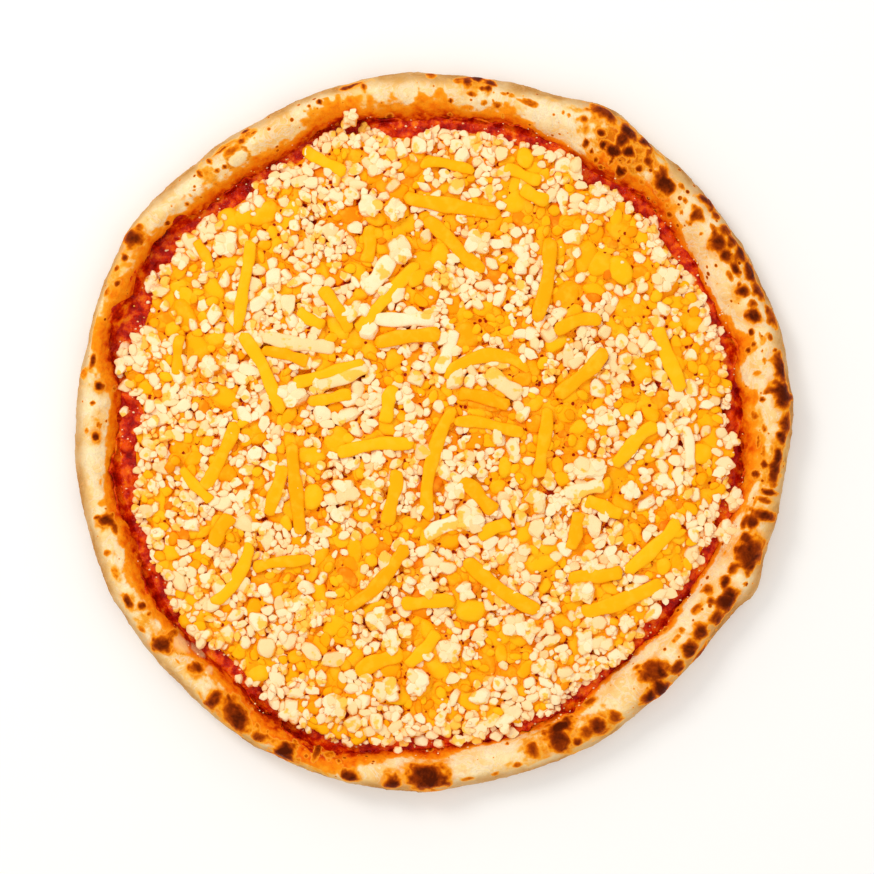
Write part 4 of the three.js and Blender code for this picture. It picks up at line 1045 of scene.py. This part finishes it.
def make_sheet():
    """The sheet's points, faces and masks."""
    # The sheet lies over the feet of the orange crumbs, and elsewhere rises part of the way up the heap.
    bare = bed_height(grid_x, grid_y)
    melted = bare.copy()
    for x, y, middle, half_length, half_width, half_height, turn, _ in (
        placed_orange + large_orange + medium_orange + small_orange
    ):
        Footprint(x, y, half_length, half_width, turn).settle(middle, half_height, melted)
    rich = smooth_step(melted - bare, 0.3, 1.2)
    level = softened(heap, HEAP_SOFTENING)
    places = np.stack((grid_x, grid_y, 0 * grid_x), -1).reshape(-1, 3)
    filled = level - FILL_DEPTH - layered_noise(places, FILL_UNEVENNESS).reshape(grid_x.shape)
    melted = np.maximum(softened(melted, SHEET_SOFTENING) - SHEET_SINK, np.minimum(filled, level - 0.6))
    # How far the sheet lies under the heap: the deepest places are painted dark red, partly sauce showing
    # through and partly painted shade.
    gap = smooth_step(level - melted, *GAP_DEPTHS)

    # A square net pulled out to the round edge of the cheese, with a wall and a floor under it.
    line = np.linspace(-1, 1, SHEET_CELLS + 1)
    a, b = np.meshgrid(line, line, indexing="ij")
    far, near = np.where(np.abs(a) > np.abs(b), (a, b), (b, a))
    turn = np.pi / 4 * near / np.where(far == 0, 1, far)
    turn = np.where(np.abs(a) > np.abs(b), turn, np.pi / 2 - turn)
    x, y = far * np.cos(turn), far * np.sin(turn)
    edge = cheese_radius(np.degrees(np.arctan2(y, x))) - SHEET_INSET
    x, y = x * edge, y * edge
    z = np.maximum(sample(melted, x, y), BED_FLOOR + 0.3)
    index = np.arange(x.size).reshape(x.shape)
    quads = np.stack((index[:-1, :-1], index[1:, :-1], index[1:, 1:], index[:-1, 1:]), -1).reshape(-1, 4)
    rim = np.concatenate((index[:-1, 0], index[-1, :-1], index[:0:-1, -1], index[0, :0:-1]))
    low = x.size + np.arange(len(rim))
    walls = np.stack((rim, low, np.roll(low, -1), np.roll(rim, -1)), -1)
    floor = np.stack((low, np.full(len(rim), x.size + len(rim)), np.roll(low, -1)), -1)
    top = np.stack((x, y, z), -1).reshape(-1, 3)
    under = top[rim] * (1, 1, 0) + (0, 0, BED_FLOOR - LAYER_GAP)
    points = np.concatenate((top, under, [(0, 0, BED_FLOOR - LAYER_GAP)]))
    tail = np.zeros(len(points) - len(top))
    masks = {
        "gap": np.concatenate((sample(gap, x, y).ravel(), tail)),
        "rich": np.concatenate((sample(rich, x, y).ravel(), tail)),
    }
    return points, [quads, walls, floor], masks


def sheet_material():
    tree, shader, made = new_material("melted_cheddar")
    base = ramp(tree, cloud(tree, 5, 4, 0.6), [(0.3, "#FF9A06"), (0.5, "#FFAC0A"), (0.7, "#FFB61E")])
    thin = ramp(tree, cloud(tree, 3, 4, 0.6), [(0.3, "#F88A02"), (0.46, "#FEA006"), (0.66, "#FFB012")])
    base = mix(tree, mask(tree, "rich"), thin, base)
    ragged = wandering(tree, cloud(tree, 2.2, 4, 0.6), -0.35, 0.35)
    # Deep between the crumbs the sheet is painted red and dark: partly sauce showing through, partly painted
    # shade.
    gap = maths(tree, "ADD", mask(tree, "gap"), ragged)
    gap_shade_and_sauce_colour = ramp(tree, gap, [(0.25, "#F07402"), (0.42, "#CC3C00"), (0.65, "#861000")])
    base = mix(tree, between(tree, gap, 0.2, 0.4), base, gap_shade_and_sauce_colour)
    place = node(tree, "TexCoord").outputs["Object"]
    # Dark red dots, seen between the crumbs: partly sauce through pinholes in the cheese, partly painted
    # shade of the deepest spots.
    pinhole_and_shade_dots = node(tree, "TexVoronoi", {"Vector": place, "Scale": 1 / (2.9 * MM)})
    base = mix(tree, between(tree, pinhole_and_shade_dots.outputs["Distance"], 0.34, 0.22), base, colour("#9A1C00"))
    roughness = wandering(tree, cloud(tree, 2), 0.3, 0.5)
    height = grain_height(tree, 1.2, 0.6)
    finish_material(tree, shader, base, roughness, height, depth=0.3, strength=1.0, specular=0.05)
    return made


make_piece("melted_cheddar", *make_sheet(), sheet_material(), "cheese", "grated_cheese")


# ---------------------------------------------------------------------------------------------------------
# The finest crumbs: bits of the white curd as small as a grain of rice or of sugar. They fell between the
# others and out onto the wet ring of sauce, and lie there loose.

BIT_COUNT = 200
RING_BIT_COUNT = 320
RING_BIT_REACH = 9.0
BIT_SIZES = (1.1, 2.6)
RING_BIT_SIZES = (0.5, 1.3)
BIT_SEED = 77


def strew_bits():
    """Bits over the cheese, then smaller ones over the ring of sauce, each let down where it falls."""
    random = np.random.default_rng(BIT_SEED)
    at = 360 * random.random(BIT_COUNT + RING_BIT_COUNT)
    edge = np.minimum(cheese_radius(at), well_radius(at))
    over_cheese = edge * np.sqrt(random.random(len(at)))
    on_ring = edge + RING_BIT_REACH * (random.random(len(at)) - 0.3)
    in_heap = np.arange(len(at)) < BIT_COUNT
    distance = np.where(in_heap, over_cheese, np.minimum(on_ring, well_radius(at) + 3))
    size = np.where(in_heap, random.uniform(*BIT_SIZES, len(at)), random.uniform(*RING_BIT_SIZES, len(at)))
    places = ring_points(distance, at, 0)
    return [settle_crumb(*place[:2], s, 0.8 * s, 0, 0.8, random) for place, s in zip(places, size)]


bits = crumb_mesh(strew_bits(), parts=1, edge=8, seed=57, roughness=0.05, lump=1)
make_piece("white_bits", *bits, curd, "cheese")


# ---------------------------------------------------------------------------------------------------------
# The shreds: long strips of orange cheddar, and a few of white cheese, from the coarse side of a grater.
# They were dropped on last, and sagged over the crumbs as they softened.

# Each is the x and y of its two ends, its bow to the left of the way between them, and its width.
ORANGE_SHREDS = [
    (-55, 119, -37, 108, 0, 5), (-13, 99, 28, 92, -1, 6.3), (-4, 90, 21, 67, 0, 6),
    (-6, 71, -32, 42, -1, 5.6), (-26, 87, -28, 71, 0, 5.6), (-47, 61, -35, 42, 1, 5.6),
    (-6, 112, 17, 109, 2, 4.6), (29, 111, 45, 105, 0, 5), (36, 102, 48, 96, 0, 5.6), (49, 82, 43, 46, 1, 6),
    (50, 43, 70, 48, 1, 5.6), (92, 44, 103, 17, 1, 6.3), (-77, 81, -83, 42, 1, 5),
    (-99, 81, -93, 68, 0, 4.4), (-57, 51, -46, 44, 0, 5), (-80, 42, -63, 8, 1, 5.6),
    (-72, 35, -52, 30, 0, 5), (-59, 21, -29, 30, -1, 5.6), (-106, 41, -108, 24, 0, 4.4),
    (-83, 5, -98, -24, 2, 5.6), (-106, -15, -93, -29, 0, 4.4), (-63, -13, -69, -35, 0, 5.8),
    (-59, -4, -55, -43, -1, 5.8), (-85, -34, -93, -47, 0, 6.3), (-53, 13, -34, 16, 0, 5),
    (-41, -8, -8, -4, 1, 5.6), (9, 11, -2, -37, -5, 5.9), (8, 5, 38, 0, 1, 5), (10, 17, 32, 12, 0, 5.6),
    (4, 23, 40, 26, 8, 5.9), (-17, 20, -21, 4, 0, 5.8), (-16, -15, -20, -39, 1, 5.8),
    (11, -19, 26, -33, 0, 6.2), (18, -43, 32, -37, 0, 5.8), (47, 11, 43, -19, 1, 5.6),
    (-25, 38, 3, 42, 0, 6), (72, 35, 51, 15, 1, 6.2), (75, -14, 93, 4, 1, 6), (63, -28, 79, -34, 0, 5.8),
    (61, -33, 57, -49, 0, 5.8), (102, -36, 79, -58, 2, 6.2), (79, -58, 56, -61, 0, 6.2),
    (96, -63, 61, -75, 1, 6.6), (-77, -45, -93, -71, 4, 5.6), (-76, -56, -51, -52, 0, 4.8),
    (-11, -47, -37, -74, 2, 5.9), (-14, -71, 9, -70, 0, 5.8), (12, -53, 44, -75, -1, 6.2),
    (-33, -100, -13, -91, 0, 6.8), (-11, -98, 2, -83, 0, 5.8),
]
WHITE_SHREDS = [
    (-17, 73, -29, 59, 0, 7.4), (-25, 47, 1, 46, 1, 5.8), (9, 43, 2, 25, 0, 5.6), (22, 26, 36, 15, 0, 6.6),
    (-49, 19, -27, 27, 0, 5), (54, -25, 71, -22, 0, 6.2), (-4, -43, 10, -36, 0, 6.2),
    (-72, 40, -41, 35, 0, 6.2), (104, 3, 106, -15, 2, 4.4),
]
SHRED_STEPS = 24
SHRED_SIDES = 14
SHRED_THICKNESS = 2.8
SHRED_LIFT = 0.15


def strip_of_faces():
    """Faces of one strip: its sides and its two ends, and how many points it has."""
    side = np.arange(SHRED_SIDES)
    following = (side + 1) % SHRED_SIDES
    start = np.arange(SHRED_STEPS - 1)[:, None] * SHRED_SIDES
    a, b = start + side, start + following
    walls = np.stack((a, a + SHRED_SIDES, b + SHRED_SIDES, b), -1).reshape(-1, 4)
    tip, last = SHRED_STEPS * SHRED_SIDES, (SHRED_STEPS - 1) * SHRED_SIDES
    tips = np.concatenate((
        np.stack((np.full(SHRED_SIDES, tip), side, following), -1),
        np.stack((np.full(SHRED_SIDES, tip + 1), last + following, last + side), -1),
    ))
    return (walls, tips), tip + 2


def shred_mesh(shreds, seed):
    """One mesh of all the strips, each draped over the heap under it."""
    random = np.random.default_rng(seed)
    points, faces, rises, tones = [], [], [], []
    share = np.linspace(0, 1, SHRED_STEPS)[:, None]
    around = 2 * np.pi * np.arange(SHRED_SIDES) / SHRED_SIDES
    flat_side = np.abs(np.cos(around)) ** 0.55 * np.sign(np.cos(around))
    flat_top = np.abs(np.sin(around)) ** 0.7 * np.sign(np.sin(around))
    strip_faces, strip_size = strip_of_faces()
    for x0, y0, x1, y1, bow, width in shreds:
        start, end = np.array((x0, y0), float), np.array((x1, y1), float)
        way = (end - start) / np.linalg.norm(end - start)
        left = np.array((-way[1], way[0]))
        bend = bow * 4 * share * (1 - share) + 0.4 * np.sin(2.2 * np.pi * share + 6 * random.random())
        line = start + share * (end - start) + bend * left
        cells = np.clip(((line + REACH) / CELL).round().astype(int), 3, heap.shape[0] - 4)
        support = np.array([np.percentile(heap[i - 3:i + 4, j - 3:j + 4], 60) for i, j in cells])
        smooth = np.convolve(np.pad(support, 4, mode="edge"), np.ones(9) / 9, mode="valid")
        blunt = np.sqrt(np.clip(1 - np.abs(2 * share - 1) ** 14, 0, 1)) * 0.94 + 0.06
        ripple = 1 + 0.1 * np.sin(2 * np.pi * (1.7 * share + random.random()))
        half_width, half_height = 0.5 * width * blunt * ripple, 0.5 * SHRED_THICKNESS * blunt
        middle = smooth[:, None] + SHRED_LIFT * half_height
        side = half_width * flat_side
        ring = np.stack((
            line[:, :1] + side * left[0], line[:, 1:] + side * left[1], middle + half_height * flat_top,
        ), -1)
        ends = [(*line[0], middle[0, 0]), (*line[-1], middle[-1, 0])]
        faces.append([part + len(points) * strip_size for part in strip_faces])
        points.append(np.concatenate((ring.reshape(-1, 3), ends)))
        # The lower half of each strip counts as low, so its material paints it deeper orange: painted shade
        # on the underside, partly staining.
        rise = np.broadcast_to(0.5 + 0.5 * flat_top, (SHRED_STEPS, SHRED_SIDES))
        rises.append(np.concatenate((rise.ravel(), (0.5, 0.5))))
        tones.append(np.full(len(points[-1]), 0.75 * random.random()))
        for (x, y), z, half in zip(line, middle[:, 0], half_width[:, 0]):
            Footprint(x, y, max(half, 0.7), max(half, 0.7), 0).settle(z, 0.45 * SHRED_THICKNESS, heap)
    flat = np.concatenate(points)
    flat += 0.3 * np.stack([smooth_noise(flat, 3, seed + axis) for axis in range(3)], -1)
    faces = [np.concatenate(parts) for parts in zip(*faces)]
    return flat, faces, {"rise": np.concatenate(rises), "tone": np.concatenate(tones)}


make_piece("orange_shreds", *shred_mesh(ORANGE_SHREDS, seed=61), cheddar, "cheese")
make_piece("white_shreds", *shred_mesh(WHITE_SHREDS, seed=62), curd, "cheese")


# ---------------------------------------------------------------------------------------------------------
# Floor, light and camera: a pale floor under soft studio light from the upper left, seen from straight
# above. The floor is one flat sheet, and each lamp is a square one that faces the pizza.

FRAME_WIDTH = 365.3
CAMERA_HEIGHT = 1000.0
FOCUS_LEVEL = 10.0
CAMERA_OFFSET = (1.25, -1.67)
SENSOR_WIDTH = 36.0
FLOOR_SIZE = 6000.0
FLOOR_COLOUR = "#F8F7F5"

# Each lamp: its direction round the pizza and its height over the floor in degrees, its distance and width in
# metres, its watts and its colour. The rest of the light comes softly from all round.
LAMPS = {
    "key": (135, 48, 1.2, 0.35, 4.6, (1.0, 0.97, 0.92)),
    "fill": (-40, 55, 1.4, 1.2, 1.6, (1.0, 0.98, 0.95)),
}
SKY_COLOUR = (1.0, 0.99, 0.97, 1)
SKY_STRENGTH = 0.86


def make_floor():
    half = FLOOR_SIZE / 2 * MM
    mesh = bpy.data.meshes.new("floor")
    corners = [(-half, -half, 0), (half, -half, 0), (half, half, 0), (-half, half, 0)]
    mesh.from_pydata(corners, [], [(0, 1, 2, 3)])
    _, shader, made = new_material("pale_floor")
    shader.inputs["Base Color"].default_value = colour(FLOOR_COLOUR)
    shader.inputs["Roughness"].default_value = 0.7
    mesh.materials.append(made)
    put_in_scene("floor", mesh)


def add_lamp(name, azimuth, elevation, distance, size, watts, tint):
    """A square lamp in a direction round the pizza, facing it."""
    turn, tilt = np.radians(azimuth), np.radians(elevation)
    place = np.array((np.cos(turn) * np.cos(tilt), np.sin(turn) * np.cos(tilt), np.sin(tilt))) * distance
    lamp = bpy.data.lights.new(name, "AREA")
    lamp.energy, lamp.size, lamp.color = watts, size, tint
    holder = put_in_scene(name, lamp)
    holder.location = place
    holder.rotation_euler = (np.pi / 2 - tilt, 0, turn + np.pi / 2)


def set_camera():
    camera = bpy.data.cameras.new("camera")
    camera.sensor_width = SENSOR_WIDTH
    camera.lens = SENSOR_WIDTH * CAMERA_HEIGHT / FRAME_WIDTH
    holder = put_in_scene("camera", camera)
    holder.location = (CAMERA_OFFSET[0] * MM, CAMERA_OFFSET[1] * MM, (CAMERA_HEIGHT + FOCUS_LEVEL) * MM)
    bpy.context.scene.camera = holder


make_floor()
for name, settings in LAMPS.items():
    add_lamp(name, *settings)
set_camera()
world = bpy.data.worlds.new("studio")
world.use_nodes = True
world.node_tree.nodes["Background"].inputs["Color"].default_value = SKY_COLOUR
world.node_tree.nodes["Background"].inputs["Strength"].default_value = SKY_STRENGTH
bpy.context.scene.world = world
bpy.context.scene.view_settings.view_transform = "Standard"
